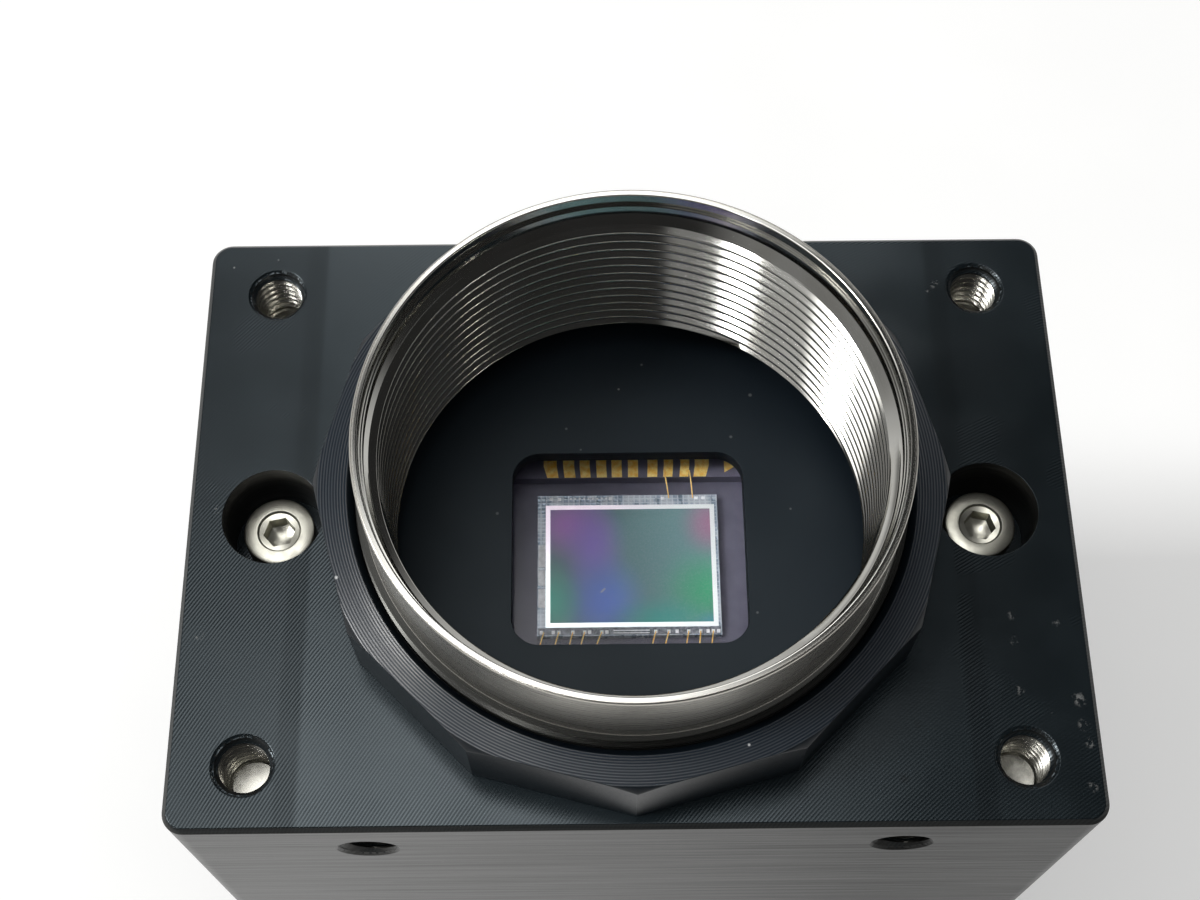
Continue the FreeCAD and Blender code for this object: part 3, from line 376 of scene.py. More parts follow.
def ring_metal():
    """Bright turned metal of the mount ring: satin outside with painted shade and a warm painted
    reflection, polished lens thread, and painted shade on the outer thread.
    """
    s = Surface("bright_ring_metal")
    x, y, z = s.split(s.place)
    radius = s.distance(x, y, (0, 0))
    lines = s.noise(s.join(radius, 0.0, z), 14.0, 3.0, 0.6)
    smudge = s.noise(s.place, 0.35, 2.0)
    outside = s.rise(radius, LIP + 0.15, LIP + 0.3)
    # painted shade: the outer thread and the collar's shoulder, in the gap above the lock ring, are
    # made dark
    thread_painted_shade = s.rise(radius, COLLAR + 0.003, COLLAR + 0.02)
    body = s.mix(s.rise(smudge, 0.35, 0.7), (0.60, 0.595, 0.56), (0.54, 0.53, 0.49))
    # the outer bands are satin; their darker, warmer colour is painted shade and a painted warm
    # reflection
    body = s.mix(outside, body, (0.52, 0.50, 0.455))
    body = s.mix(thread_painted_shade, body, (0.07, 0.07, 0.065))
    roughness = s.plus(s.rise(lines, 0.3, 0.7, 0.08, 0.13), s.times(outside, 0.17))
    height = s.times(lines, s.plus(0.05, s.times(outside, 0.12)))
    s.principled(body, roughness, 1.0, s.bump(height, 0.0012), Anisotropic=s.times(outside, 0.5),
                 Anisotropic_Rotation=0.25, Tangent=s.around_axis())
    return s.material


def screw_steel(name, screw_x, screw_y):
    """Stainless steel heads: fine rings turned round each screw's own axis."""
    s = Surface(name)
    x, y = s.split(s.place)[:2]
    radius = s.distance(s.math("ABSOLUTE", x), s.math("ABSOLUTE", y), (screw_x, screw_y))
    lines = s.waves(radius, 0.11)
    stain = s.noise(s.place, 1.6, 3.0)
    body = s.mix(s.rise(stain, 0.35, 0.7), (0.54, 0.53, 0.46), (0.44, 0.43, 0.37))
    s.principled(body, s.rise(stain, 0.3, 0.7, 0.28, 0.36), 1.0, s.bump(lines, 0.0004))
    return s.material


def bare_threads():
    """Bare aluminium in the tapped holes, cut after the anodising."""
    s = Surface("bare_thread_metal")
    tone = s.noise(s.place, 1.2, 3.0)
    body = s.mix(s.rise(tone, 0.3, 0.7), (0.42, 0.41, 0.37), (0.54, 0.53, 0.48))
    s.principled(body, s.rise(tone, 0.3, 0.7, 0.20, 0.27), 1.0, s.bump(tone, 0.001))
    return s.material


def mottled(name, dark, light, roughness, metallic=0.0, scale=2.0, depth=0.01, **sockets):
    """A plain substance with fine uneven tone and grain."""
    s = Surface(name)
    tone = s.noise(s.place, scale, 4.0)
    fine = s.noise(s.place, scale * 6, 2.0)
    body = s.mix(s.rise(tone, 0.3, 0.7), dark, light)
    s.principled(body, s.rise(tone, 0.3, 0.7, roughness - 0.05, roughness + 0.05), metallic,
                 s.bump(fine, depth), **sockets)
    return s.material


def circuit_board():
    """Green solder mask over faint tracks."""
    s = Surface("circuit_board")
    x, y = s.split(s.place)[:2]
    tracks = s.math("GREATER_THAN", s.waves(s.plus(x, s.times(y, 0.5)), 1.27), 0.6)
    grain = s.noise(s.place, 6.0, 3.0)
    body = s.mix(s.times(tracks, 0.5), (0.010, 0.075, 0.030), (0.020, 0.130, 0.055))
    s.principled(body, s.rise(grain, 0.3, 0.7, 0.30, 0.42), normal=s.bump(tracks, 0.03))
    return s.material


def gold(name):
    """Thick-film gold, slightly lumpy."""
    s = Surface(name)
    tone = s.noise(s.place, 3.5, 3.0)
    body = s.mix(s.rise(tone, 0.3, 0.7), (0.92, 0.52, 0.07), (1.0, 0.78, 0.28))
    s.principled(body, s.rise(tone, 0.3, 0.7, 0.32, 0.46), 0.30, s.bump(tone, 0.01))
    return s.material


def active_area():
    """The pixel field: a microlens array that splits light into slow rainbow tints."""
    s = Surface("pixel_field")
    x, y = s.split(s.place)[:2]
    tints = [
        # centre x, y, reach x, y, share, colour
        ((-3.4, 2.4), (3.0, 2.6), 0.95, (0.50, 0.22, 0.60)),
        ((-2.0, 1.0), (2.2, 3.6), 0.85, (0.34, 0.22, 0.72)),
        ((-1.5, -2.2), (2.8, 3.4), 0.92, (0.15, 0.27, 0.80)),
        ((-4.4, -2.2), (2.2, 2.8), 0.90, (0.06, 0.52, 0.36)),
        ((4.4, -1.6), (3.4, 3.2), 0.90, (0.055, 0.345, 0.165)),
        ((1.6, -3.4), (3.2, 1.8), 0.85, (0.04, 0.34, 0.28)),
        ((4.6, 2.4), (2.0, 2.4), 0.85, (0.34, 0.14, 0.24)),
        ((4.6, -3.5), (1.3, 0.9), 0.80, (0.06, 0.28, 0.34)),
    ]
    colour = (0.135, 0.255, 0.255)
    for centre, reach, share, tint in tints:
        along = s.times(s.math("SUBTRACT", x, centre[0]), 1 / reach[0])
        across = s.times(s.math("SUBTRACT", y, centre[1]), 1 / reach[1])
        away = s.math("SQRT", s.plus(s.times(along, along), s.times(across, across)))
        colour = s.mix(s.rise(away, 1.0, 0.0, 0.0, share), colour, tint)
    grain = s.noise(s.place, 12.0, 2.0)
    colour = s.mix(s.rise(grain, 0.35, 0.75, 0.0, 0.10), colour, (0.42, 0.45, 0.47))
    colour = s.mix(s.times(s.patches(x, y, FIELD_MARK), 0.7), colour, (0.60, 0.62, 0.62))
    low_right = s.plus(s.times(x, 0.5), s.times(y, -1.0))
    gloss = s.rise(low_right, -2.0, 4.0, 0.42, 0.15)
    s.principled(colour, s.rise(grain, 0.3, 0.7, 0.38, 0.46), normal=s.bump(grain, 0.002),
                 Specular_IOR_Level=gloss)
    return s.material


def sensor_border():
    """The bright metal frame round the pixel field, with painted reflection: tinted as the field is,
    and greyer to the right.
    """
    s = Surface("sensor_border")
    x, y = s.split(s.place)[:2]
    # painted reflection: green below, pink above, and greyer to the right
    tint = s.mix(s.rise(y, -2.0, 2.5), (0.90, 1.0, 0.95), (0.98, 0.86, 0.92))
    tint = s.mix(s.rise(x, -3.0, 3.5), tint, (0.86, 0.90, 0.86))
    grain = s.noise(s.place, 5.0, 2.0)
    s.principled(tint, s.rise(grain, 0.3, 0.7, 0.30, 0.38), 0.95, s.bump(grain, 0.001))
    return s.material


def sensor_silicon():
    """The chip's circuits outside the pixel field: grey-blue with rows of fine cells."""
    s = Surface("sensor_silicon")
    x, y = s.split(s.place)[:2]
    cells = s.math("MAXIMUM", s.waves(x, 0.31), s.waves(y, 0.23))
    patches = s.noise(s.stretched(1.6, 0.7, 1.0), 1.0, 2.0)
    body = s.mix(s.rise(patches, 0.4, 0.6), (0.20, 0.26, 0.31), (0.40, 0.44, 0.46))
    body = s.mix(s.rise(cells, 0.5, 1.0, 0.0, 0.5), body, (0.62, 0.66, 0.68))
    s.principled(body, s.rise(patches, 0.3, 0.7, 0.25, 0.35), 0.3, s.bump(cells, 0.003))
    return s.material


def cover_glass_material():
    """Clear coated glass that lets the lamps through to the chip."""
    s = Surface("clear_glass")
    smear = s.noise(s.place, 0.5, 3.0)
    glass = s.principled((0.97, 0.97, 1.0), s.rise(smear, 0.4, 0.8, 0.0, 0.04),
                         Transmission_Weight=1.0, IOR=1.22)
    clear = s.add("ShaderNodeBsdfTransparent")
    clear.inputs[0].default_value = (0.95, 0.95, 0.97, 1)
    rays = s.add("ShaderNodeLightPath")
    choice = s.add("ShaderNodeMixShader")
    s.feed(choice.inputs[0], rays.outputs["Is Shadow Ray"])
    s.feed(choice.inputs[1], glass.outputs[0])
    s.feed(choice.inputs[2], clear.outputs[0])
    s.show(choice)
    return s.material


HOUSING_BLACK = anodised_housing()
LOCK_BLACK = anodised_lock_ring()
RING_METAL = ring_metal()
CLAMP_STEEL = screw_steel("stainless_clamp_screws", CLAMP_X, 0.0)
COVER_STEEL = screw_steel("stainless_cover_screws", COVER_X, COVER_Y)
THREAD_METAL = bare_threads()
GOLD = gold("gold_plating")
CERAMIC = mottled("grey_ceramic", (0.082, 0.080, 0.110), (0.105, 0.102, 0.136), 0.55, scale=1.2,
                  depth=0.002)
RUBBER = mottled("black_rubber", (0.010, 0.010, 0.011), (0.017, 0.017, 0.018), 0.7)
BOARD = circuit_board()
CHIP = mottled("black_chip", (0.012, 0.012, 0.013), (0.022, 0.022, 0.023), 0.45)
BLACK_PLASTIC = mottled("black_plastic", (0.010, 0.010, 0.010), (0.016, 0.016, 0.017), 0.38)
WHITE_PLASTIC = mottled("white_plastic", (0.62, 0.61, 0.57), (0.72, 0.71, 0.68), 0.4)
LIGHT_PIPE = mottled("clear_plastic", (0.70, 0.74, 0.72), (0.80, 0.83, 0.82), 0.15,
                     Transmission_Weight=0.6)
TIN = mottled("shield_metal", (0.46, 0.46, 0.45), (0.60, 0.60, 0.58), 0.28, 1.0)
SATIN = mottled("satin_connector_metal", (0.42, 0.42, 0.41), (0.55, 0.55, 0.54), 0.33, 1.0)
BRASS = mottled("brass_spacers", (0.55, 0.40, 0.18), (0.68, 0.52, 0.26), 0.3, 1.0)
CARRIER = mottled("black_anodised_inner", (0.008, 0.008, 0.009), (0.013, 0.013, 0.014), 0.42)


# ---------------------------------------------------------------- shapes

def placed_object(name, data):
    """A new object in the scene, for a mesh, a lamp or the camera."""
    item = bpy.data.objects.new(name, data)
    bpy.context.scene.collection.objects.link(item)
    return item


def full_turn(columns):
    """The angles of a full turn, with the first one again at the end."""
    return [2 * math.pi * column / columns for column in range(columns + 1)]


def turned_point(radius, angle, height):
    return (radius * math.cos(angle), radius * math.sin(angle), height)


class Form:
    """Points and faces of one piece, in millimetres."""

    def __init__(self):
        self.points = []
        self.faces = []
        self.finishes = []
        self.finish = 0

    def face(self, corners):
        """Adds a face with the finish in use, which is a place in the piece's materials."""
        self.faces.append(corners)
        self.finishes.append(self.finish)

    def grid(self, rows):
        """A sheet of four-sided faces through rows of points."""
        start = len(self.points)
        width = len(rows[0])
        for row in rows:
            self.points.extend(row)
        for across in range(len(rows) - 1):
            for along in range(width - 1):
                corner = start + across * width + along
                self.face((corner, corner + 1, corner + width + 1, corner + width))

    def lathe(self, outline, columns):
        """An outline of (radius, height) pairs turned about the axis."""
        angles = full_turn(columns)
        self.grid([[turned_point(radius, angle, height) for angle in angles]
                   for radius, height in outline])

    def thread(self, tooth, pitch, low, high, limit, columns, start=0.0):
        """A thread between two heights. Its rows follow the helix, so its edges stay crisp.

        tooth is (share of a pitch, radius) pairs; limit gives the radius at a height from
        the tooth's own, where a bore, cone or bar ends the thread.
        """
        rows = []
        for turn in range(-1, math.ceil((high - low) / pitch) + 1):
            for share, radius in tooth:
                row = []
                for column in range(columns + 1):
                    part = column / columns
                    height = low + (turn + share + part) * pitch
                    height = min(max(height, low), high)
                    angle = start + 2 * math.pi * part
                    row.append(turned_point(limit(height, radius), angle, height))
                rows.append(row)
        self.grid(rows)

    def box(self, low, high):
        corners = [(x, y, z) for z in (low[2], high[2]) for y in (low[1], high[1])
                   for x in (low[0], high[0])]
        start = len(self.points)
        self.points.extend(corners)
        for side in ((0, 2, 3, 1), (4, 5, 7, 6), (0, 1, 5, 4), (2, 6, 7, 3), (0, 4, 6, 2),
                     (1, 3, 7, 5)):
            self.face(tuple(start + corner for corner in side))

    def slab(self, outline, low, high):
        """A flat outline given a thickness."""
        start = len(self.points)
        count = len(outline)
        self.points.extend((x, y, low) for x, y in outline)
        self.points.extend((x, y, high) for x, y in outline)
        self.face(tuple(start + i for i in reversed(range(count))))
        self.face(tuple(start + count + i for i in range(count)))
        for i in range(count):
            j = (i + 1) % count
            self.face((start + i, start + j, start + count + j, start + count + i))

    def tube(self, path, radius, sides):
        """A round wire along a path, closed at both ends."""
        rings = []
        for index, point in enumerate(path):
            before = Vector(path[max(index - 1, 0)])
            after = Vector(path[min(index + 1, len(path) - 1)])
            along = (after - before).normalized()
            side = along.cross(Vector((1, 0, 0))).normalized()
            up = side.cross(along)
            ring = []
            for step in range(sides):
                angle = 2 * math.pi * step / sides
                ring.append(tuple(Vector(point) + radius
                                  * (math.cos(angle) * side + math.sin(angle) * up)))
            rings.append(ring)
        start = len(self.points)
        self.grid([ring + ring[:1] for ring in rings])
        width = sides + 1
        last = start + (len(rings) - 1) * width
        self.face(tuple(start + step for step in reversed(range(sides))))
        self.face(tuple(last + step for step in range(sides)))

    def piece(self, name, materials, body, slot, replaces=(), placed=None, smooth=30):
        """Makes the object, welded, with its normals out, and puts it on its body."""
        mesh = bpy.data.meshes.new(name)
        mesh.from_pydata([(x * MM, y * MM, z * MM) for x, y, z in self.points], [], self.faces)
        mesh.polygons.foreach_set("material_index", self.finishes)
        shape = bmesh.new()
        shape.from_mesh(mesh)
        bmesh.ops.remove_doubles(shape, verts=shape.verts, dist=2e-4 * MM)
        bmesh.ops.dissolve_degenerate(shape, edges=shape.edges, dist=1e-4 * MM)
        if placed is not None:
            bmesh.ops.transform(shape, matrix=placed, verts=shape.verts)
        bmesh.ops.recalc_face_normals(shape, faces=shape.faces)
        shape.to_mesh(mesh)
        shape.free()
        finished(mesh, name, materials, body, replaces, smooth)


def finished(mesh, name, materials, body, replaces=(), smooth=30, edge=0.0):
    """An object for a mesh, shaded smooth up to an angle, on its body.

    With an edge, its sharp edges are broken by that many millimetres.
    """
    if not isinstance(materials, (list, tuple)):
        materials = [materials]
    for material in materials:
        mesh.materials.append(material)
    mesh.polygons.foreach_set("use_smooth", [True] * len(mesh.polygons))
    piece = placed_object(name, mesh)
    if edge:
        bevel = piece.modifiers.new("EdgeBreak", "BEVEL")
        bevel.width = edge * MM
        bevel.segments = 2
        bevel.limit_method = "ANGLE"
        bevel.angle_limit = math.radians(smooth)
        bevel.use_clamp_overlap = True
        level = piece.modifiers.new("FlatFaces", "WEIGHTED_NORMAL")
        level.weight = 100
        level.keep_sharp = True
        graph = bpy.context.evaluated_depsgraph_get()
        shaped = bpy.data.meshes.new_from_object(piece.evaluated_get(graph))
        piece.modifiers.clear()
        piece.data = shaped
        shaped.name = name
    else:
        mesh.set_sharp_from_angle(angle=math.radians(smooth))
    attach(piece, body)
    if replaces:
        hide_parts(*replaces)


def node_form(node, change=None):
    """A fresh mesh of a CAD node with its flat faces whole. change moves a point, in millimetres."""
    source = NODES[node].data
    mesh = bpy.data.meshes.new(node + "_shape")
    mesh.from_pydata([tuple(v.co) for v in source.vertices], [],
                     [tuple(p.vertices) for p in source.polygons])
    shape = bmesh.new()
    shape.from_mesh(mesh)
    bmesh.ops.remove_doubles(shape, verts=shape.verts, dist=1e-3 * MM)
    if change:
        for vertex in shape.verts:
            vertex.co = change(vertex.co / MM) * MM
    bmesh.ops.dissolve_limit(shape, angle_limit=math.radians(0.5), verts=shape.verts,
                             edges=shape.edges)
    bmesh.ops.recalc_face_normals(shape, faces=shape.faces)
    shape.to_mesh(mesh)
    shape.free()
    return mesh


def paint(material, *nodes):
    """Gives CAD nodes a material."""
    for node in nodes:
        NODES[node].data.materials.clear()
        NODES[node].data.materials.append(material)


# ---------------------------------------------------------------- housing

def hole_axes():
    """Foot and direction of each tapped hole: four in front, two on each long side."""
    holes = []
    for sign_x in (-1, 1):
        for sign_y in (-1, 1):
            holes.append((Vector((sign_x * HOLE_X, sign_y * HOLE_Y, FRONT)), Vector((0, 0, -1))))
    for sign_y in (-1, 1):
        for sign_x in (-1, 1):
            mouth = Vector((sign_x * SIDE_HOLE_X, sign_y * HALF_HEIGHT, FRONT - SIDE_HOLE_DROP))
            holes.append((mouth, Vector((0, -sign_y, 0))))
    return holes


def widened(point):
    """Moves the wall of a tapped hole out, to make room for its threaded sleeve."""
    near = 0.1
    for mouth, inward in hole_axes():
        away = point - mouth
        depth = away.dot(inward)
        across = away - depth * inward
        on_wall = abs(across.length - TAP_CORE) < near
        if on_wall and 2 * near < depth < TAP_DEPTH + near:
            radius = TAP_SLEEVE
            if depth < TAP_DEPTH / 4:
                depth, radius = TAP_LIP, TAP_MOUTH - TAP_LIP
            return mouth + depth * inward + across * (radius / across.length)
    return point


def make_housing():
    for node, change in (("front_housing", widened), ("rear_cover", None)):
        finished(node_form(node, change), node + "_block", HOUSING_BLACK, "housing",
                 [node], CORNER_ANGLE, HOUSING_BREAK)
    paint(RUBBER, "body_gasket")


def make_hole_threads():
    """A sleeve in each tapped hole: black countersunk mouth, and the M3 thread in its bore."""
    columns = 48
    clear = 0.01
    root = TAP_MAJOR - 0.02
    tooth = [(0.0, TAP_CORE), (0.22, TAP_CORE), (0.50, root), (0.56, TAP_MAJOR),
             (0.66, TAP_MAJOR), (0.72, root)]
    under = TAP_LIP + clear
    mouth_radius = TAP_MOUTH - TAP_LIP - clear
    mouth_depth = mouth_radius - TAP_CORE + under
    floor = -TAP_DEPTH + 0.3
    sleeve, end = TAP_SLEEVE - 2 * clear, -TAP_DEPTH + 2 * clear

    def limit(height, radius):
        return max(radius, mouth_radius + height + under)

    for index, (mouth, inward) in enumerate(hole_axes(), start=1):
        form = Form()
        form.thread(tooth, TAP_PITCH, floor, -under, limit, columns)
        # painted shade: the thread's top turns below the countersink take the housing's black
        for number, corners in enumerate(form.faces):
            if min(form.points[corner][2] for corner in corners) > -mouth_depth - TAP_SHADE_DEPTH:
                form.finishes[number] = 1
        form.finish = 1
        form.lathe([(mouth_radius, -under), (mouth_radius + clear, -under), (sleeve, end),
                    (0.0, end)], columns)
        form.finish = 0
        form.lathe([(TAP_CORE, floor), (TAP_CORE - 0.1, floor - 0.08), (0.0, floor - 0.16)],
                   columns)
        turn = Vector((0, 0, -1)).rotation_difference(inward).to_matrix().to_4x4()
        placed = Matrix.Translation(mouth * MM) @ turn
        side = "front" if inward.z else "side"
        form.piece(f"{side}_hole_thread_{index}", [THREAD_METAL, HOUSING_BLACK], "housing",
                   "bright_ring_metal", placed=placed)


# ---------------------------------------------------------------- lens mount

def flank(start, end):
    """Two points near the ends of a flank, which keep it flat between its rounded ends."""
    return [tuple(first + (last - first) * share for first, last in zip(start, end))
            for share in (0.1, 0.9)]


def rounded_tooth(crest, root, pitch, crest_round, root_round):
    """A 60 degree thread's profile with rounded crest and root, as (share, radius) pairs."""
    steep = math.tan(math.radians(60))
    turns = [math.radians(angle) for angle in (-60, -30, 0)]
    side = [(crest_round * math.sin(turn), crest + crest_round * (1 - math.cos(turn)))
            for turn in turns]
    out = root - root_round * 0.5 - side[0][1]
    reach = out / steep
    spare = pitch / 2 + side[0][0] - reach - root_round * math.sin(math.radians(60))
    flat = spare / 2
    upper = [(z - flat / 2, radius) for z, radius in side]
    crest_side = upper + [(-z, radius) for z, radius in reversed(upper)]
    lower = [(-root_round * math.sin(turn), root - root_round * (1 - math.cos(turn)))
             for turn in turns]
    lower = [(pitch / 2 - z - flat / 2, radius) for z, radius in lower]
    root_side = lower + [(pitch - z, radius) for z, radius in reversed(lower)]
    next_crest = (pitch + crest_side[0][0], crest_side[0][1])
    outline = (crest_side + flank(crest_side[-1], root_side[0]) + root_side
               + flank(root_side[-1], next_crest))
    return [(z / pitch, radius) for z, radius in outline]


def make_mount_ring():
    """The turned ring with the lens thread inside and the setting thread outside."""
    columns = 256
    low, top = RING_LOW.z, FLANGE
    relief_end = top - RELIEF_DEPTH
    shoulder = top - COLLAR_HEIGHT
    ledge = top - LIP_DEPTH
    edge = RIM_BREAK
    near = 0.02            # support rows, this close to an edge, keep the faces beside it flat
    fine, round_over = 0.04, 0.06
    thread_foot = OUTER_THREAD - 0.3
    bore_foot = RELIEF - 0.06
    form = Form()

    tooth = rounded_tooth(LENS_CREST, LENS_ROOT, LENS_PITCH, LENS_CREST_ROUND, LENS_ROOT_ROUND)

    def bore(height, radius):
        """The thread ends in cones at both ends of the bore."""
        return max(radius, RELIEF - (relief_end - height), bore_foot - (height - low))

    form.thread(tooth, LENS_PITCH, low, relief_end, bore, columns, -math.pi / 2)

    root = OUTER_THREAD - OUTER_THREAD_DEPTH
    tooth = [(0.0, OUTER_THREAD), (0.2, OUTER_THREAD), (0.5, root), (0.7, root)]

    def bar(height, radius):
        """The outer thread ends in a cone at the collar and at the low end."""
        return min(radius, COLLAR + shoulder - height, thread_foot + height - low)

    form.thread(tooth, OUTER_PITCH, low, shoulder - near, bar, columns)
    collar = [(COLLAR + near, shoulder - near), (COLLAR, shoulder), (COLLAR, shoulder + near),
              (COLLAR, top - edge - near), (COLLAR, top - edge)]
    rim = [(COLLAR - edge * 0.3, top - edge * 0.3), (COLLAR - edge, top),
           (COLLAR - edge - near, top), (LIP + round_over + near, top), (LIP + round_over, top)]
    lip = [(LIP + near, top - near), (LIP, top - round_over), (LIP, top - round_over - near),
           (LIP, ledge + fine + near), (LIP, ledge + fine), (LIP - fine, ledge)]
    relief = [(RELIEF + fine, ledge), (RELIEF, ledge - fine), (RELIEF, ledge - fine - near),
              (RELIEF, relief_end + near), (RELIEF, relief_end)]
    form.lathe(collar + rim + lip + relief, columns)
    form.lathe([(thread_foot, low), (bore_foot, low)], columns)
    form.piece("mount_ring_turned", RING_METAL, "mount_ring", "bright_ring_metal",
               ["mount_ring"], smooth=RING_ANGLE)


def make_lock_ring():
    finished(node_form("lock_ring"), "lock_ring_turned", LOCK_BLACK, "lock_ring",
             ["lock_ring"], CORNER_ANGLE, LOCK_BREAK)


# ---------------------------------------------------------------- screws

def hexagon(angle, flat):
    """Distance from the middle of a hexagon to its side, at an angle."""
    sixth = math.pi / 3
    return flat / math.cos((angle % sixth) - sixth / 2)


def cap_screw(head, length):
    """A cap screw, its head's underside at zero: turned head, dished socket mouth, hexagon."""
    columns = 72
    break_end, break_head, round_head = 0.15, 0.08, 0.16
    lip, ledge_in, ledge_drop, dish_slope = 0.03, 0.06, 0.12, 0.18
    flat = CAP_HEX * math.cos(math.pi / 6)
    floor_height = CAP_HEIGHT * 0.45
    angles = full_turn(columns)
    form = Form()
    form.lathe([(0.0, -length), (CAP_SHANK - break_end, -length),
                (CAP_SHANK, -length + break_end), (CAP_SHANK, 0.0), (head - break_head, 0.0),
                (head, break_head), (head, CAP_HEIGHT - round_head),
                (head - 0.05, CAP_HEIGHT - 0.05), (head - round_head, CAP_HEIGHT),
                (CAP_DISH + 0.04, CAP_HEIGHT), (CAP_DISH, CAP_HEIGHT - lip)], columns)
    mouth = [turned_point(CAP_DISH, angle, CAP_HEIGHT - lip) for angle in angles]
    dish = CAP_DISH - ledge_in
    ledge = [turned_point(dish, angle, CAP_HEIGHT - ledge_drop) for angle in angles]
    rim = []
    wall = []
    for angle in angles:
        side = hexagon(angle, flat)
        drop = ledge_drop + dish_slope * (dish - side)
        rim.append(turned_point(side, angle, CAP_HEIGHT - drop))
        wall.append(turned_point(side * 0.985, angle, floor_height))
    floor = [turned_point(flat * 0.82, angle, floor_height - 0.06) for angle in angles]
    tip = [turned_point(0.0, angle, floor_height - 0.32) for angle in angles]
    form.grid([mouth, ledge, rim, wall, floor, tip])
    return form


def place_screw(form, name, material, node, foot, turn):
    """Puts a screw in its hole, as a part of the CAD node that it replaces."""
    form.piece(name, material, "housing", "stainless_screws", [node],
               Matrix.Translation(Vector(foot) * MM) @ turn, SCREW_ANGLE)


def make_clamp_screws():
    seat = CLAMP_HIGH.z - CAP_HEIGHT
    for name, sign, angle in (("left", -1, 12), ("right", 1, 47)):
        turn = Matrix.Rotation(math.radians(angle), 4, "Z")
        place_screw(cap_screw(CLAMP_HEAD, seat - CLAMP_LOW.z), f"clamp_screw_{name}",
                    CLAMP_STEEL, "clamp_screws", (sign * CLAMP_X, 0, seat), turn)


def make_cover_screws():
    seat = COVER_LOW.z + CAP_HEIGHT
    over = Matrix.Rotation(math.pi, 4, "X")
    corners = [(-1, -1), (-1, 1), (1, -1), (1, 1)]
    for number, (sign_x, sign_y) in enumerate(corners, start=1):
        turn = over @ Matrix.Rotation(math.radians(23 * number), 4, "Z")
        place_screw(cap_screw(COVER_HEAD, COVER_HIGH.z - seat), f"cover_screw_{number}",
                    COVER_STEEL, "cover_screws", (sign_x * COVER_X, sign_y * COVER_Y, seat), turn)


# ---------------------------------------------------------------- image sensor

def make_fingers():
    """Gold bond fingers on both shelves of the package, and the mark of its first corner."""
    spans = [(-4.63, -3.89), (-3.55, -2.92), (-2.63, -2.06), (-1.71, -1.14), (-0.86, -0.28),
             (0.06, 0.63), (1.15, 1.72), (2.06, 2.58), (2.98, 3.49), (3.78, 4.58)]
    first, last = spans[0][0], spans[-1][1]
    inner, bend, outer = SHELF_EDGE + 0.03, 5.9, 6.7
    splay, cut = 0.025, 0.10
    corner_mark = [(5.55, 5.42), (6.18, 5.80), (5.55, 6.15)]
    outlines = []
    for left, right in spans:
        fan = splay * (left + right) / 2
        outlines.append([(left + cut * (left == first), inner),
                         (right - cut * (right == last), inner), (right + fan, bend),
                         (right + fan, outer), (left + fan, outer), (left + fan, bend)])
    outlines += [[(x, -y) for x, y in reversed(outline)] for outline in outlines]
    form = Form()
    for outline in outlines + [corner_mark]:
        form.slab(outline, SHELF_TOP, SHELF_TOP + FINGER_FILM)
    form.piece("bond_fingers", GOLD, "housing", "gold_plating")


def make_bond_wires():
    """Gold wires from the chip's pads up and over to the fingers."""
    low_wires = [(-4.72, -5.05), (-3.89, -4.25), (-3.12, -3.45), (-2.47, -2.85), (-1.53, -2.05),
                 (1.43, 1.05), (2.15, 1.75), (3.24, 2.95), (3.90, 3.70), (4.59, 4.35)]
    high_wires = [(2.35, 2.10), (3.70, 3.55)]
    pad_row, finger_row = 3.98, 5.55
    pad_height, finger_height = DIE_HIGH.z - 0.02, SHELF_TOP + 0.04
    steps, sides = 10, 6
    form = Form()
    for side, wires in ((-1, low_wires), (1, high_wires)):
        for start_x, end_x in wires:
            start = Vector((start_x, side * pad_row, pad_height))
            end = Vector((end_x, side * finger_row, finger_height))
            path = []
            for step in range(steps + 1):
                part = step / steps
                point = start.lerp(end, part)
                point.z += WIRE_ARCH * math.sin(math.pi * part) * (1 - 0.4 * part)
                path.append(tuple(point))
            form.tube(path, WIRE_RADIUS, sides)
    form.piece("bond_wires", GOLD, "housing", "gold_plating", smooth=WIRE_ANGLE)


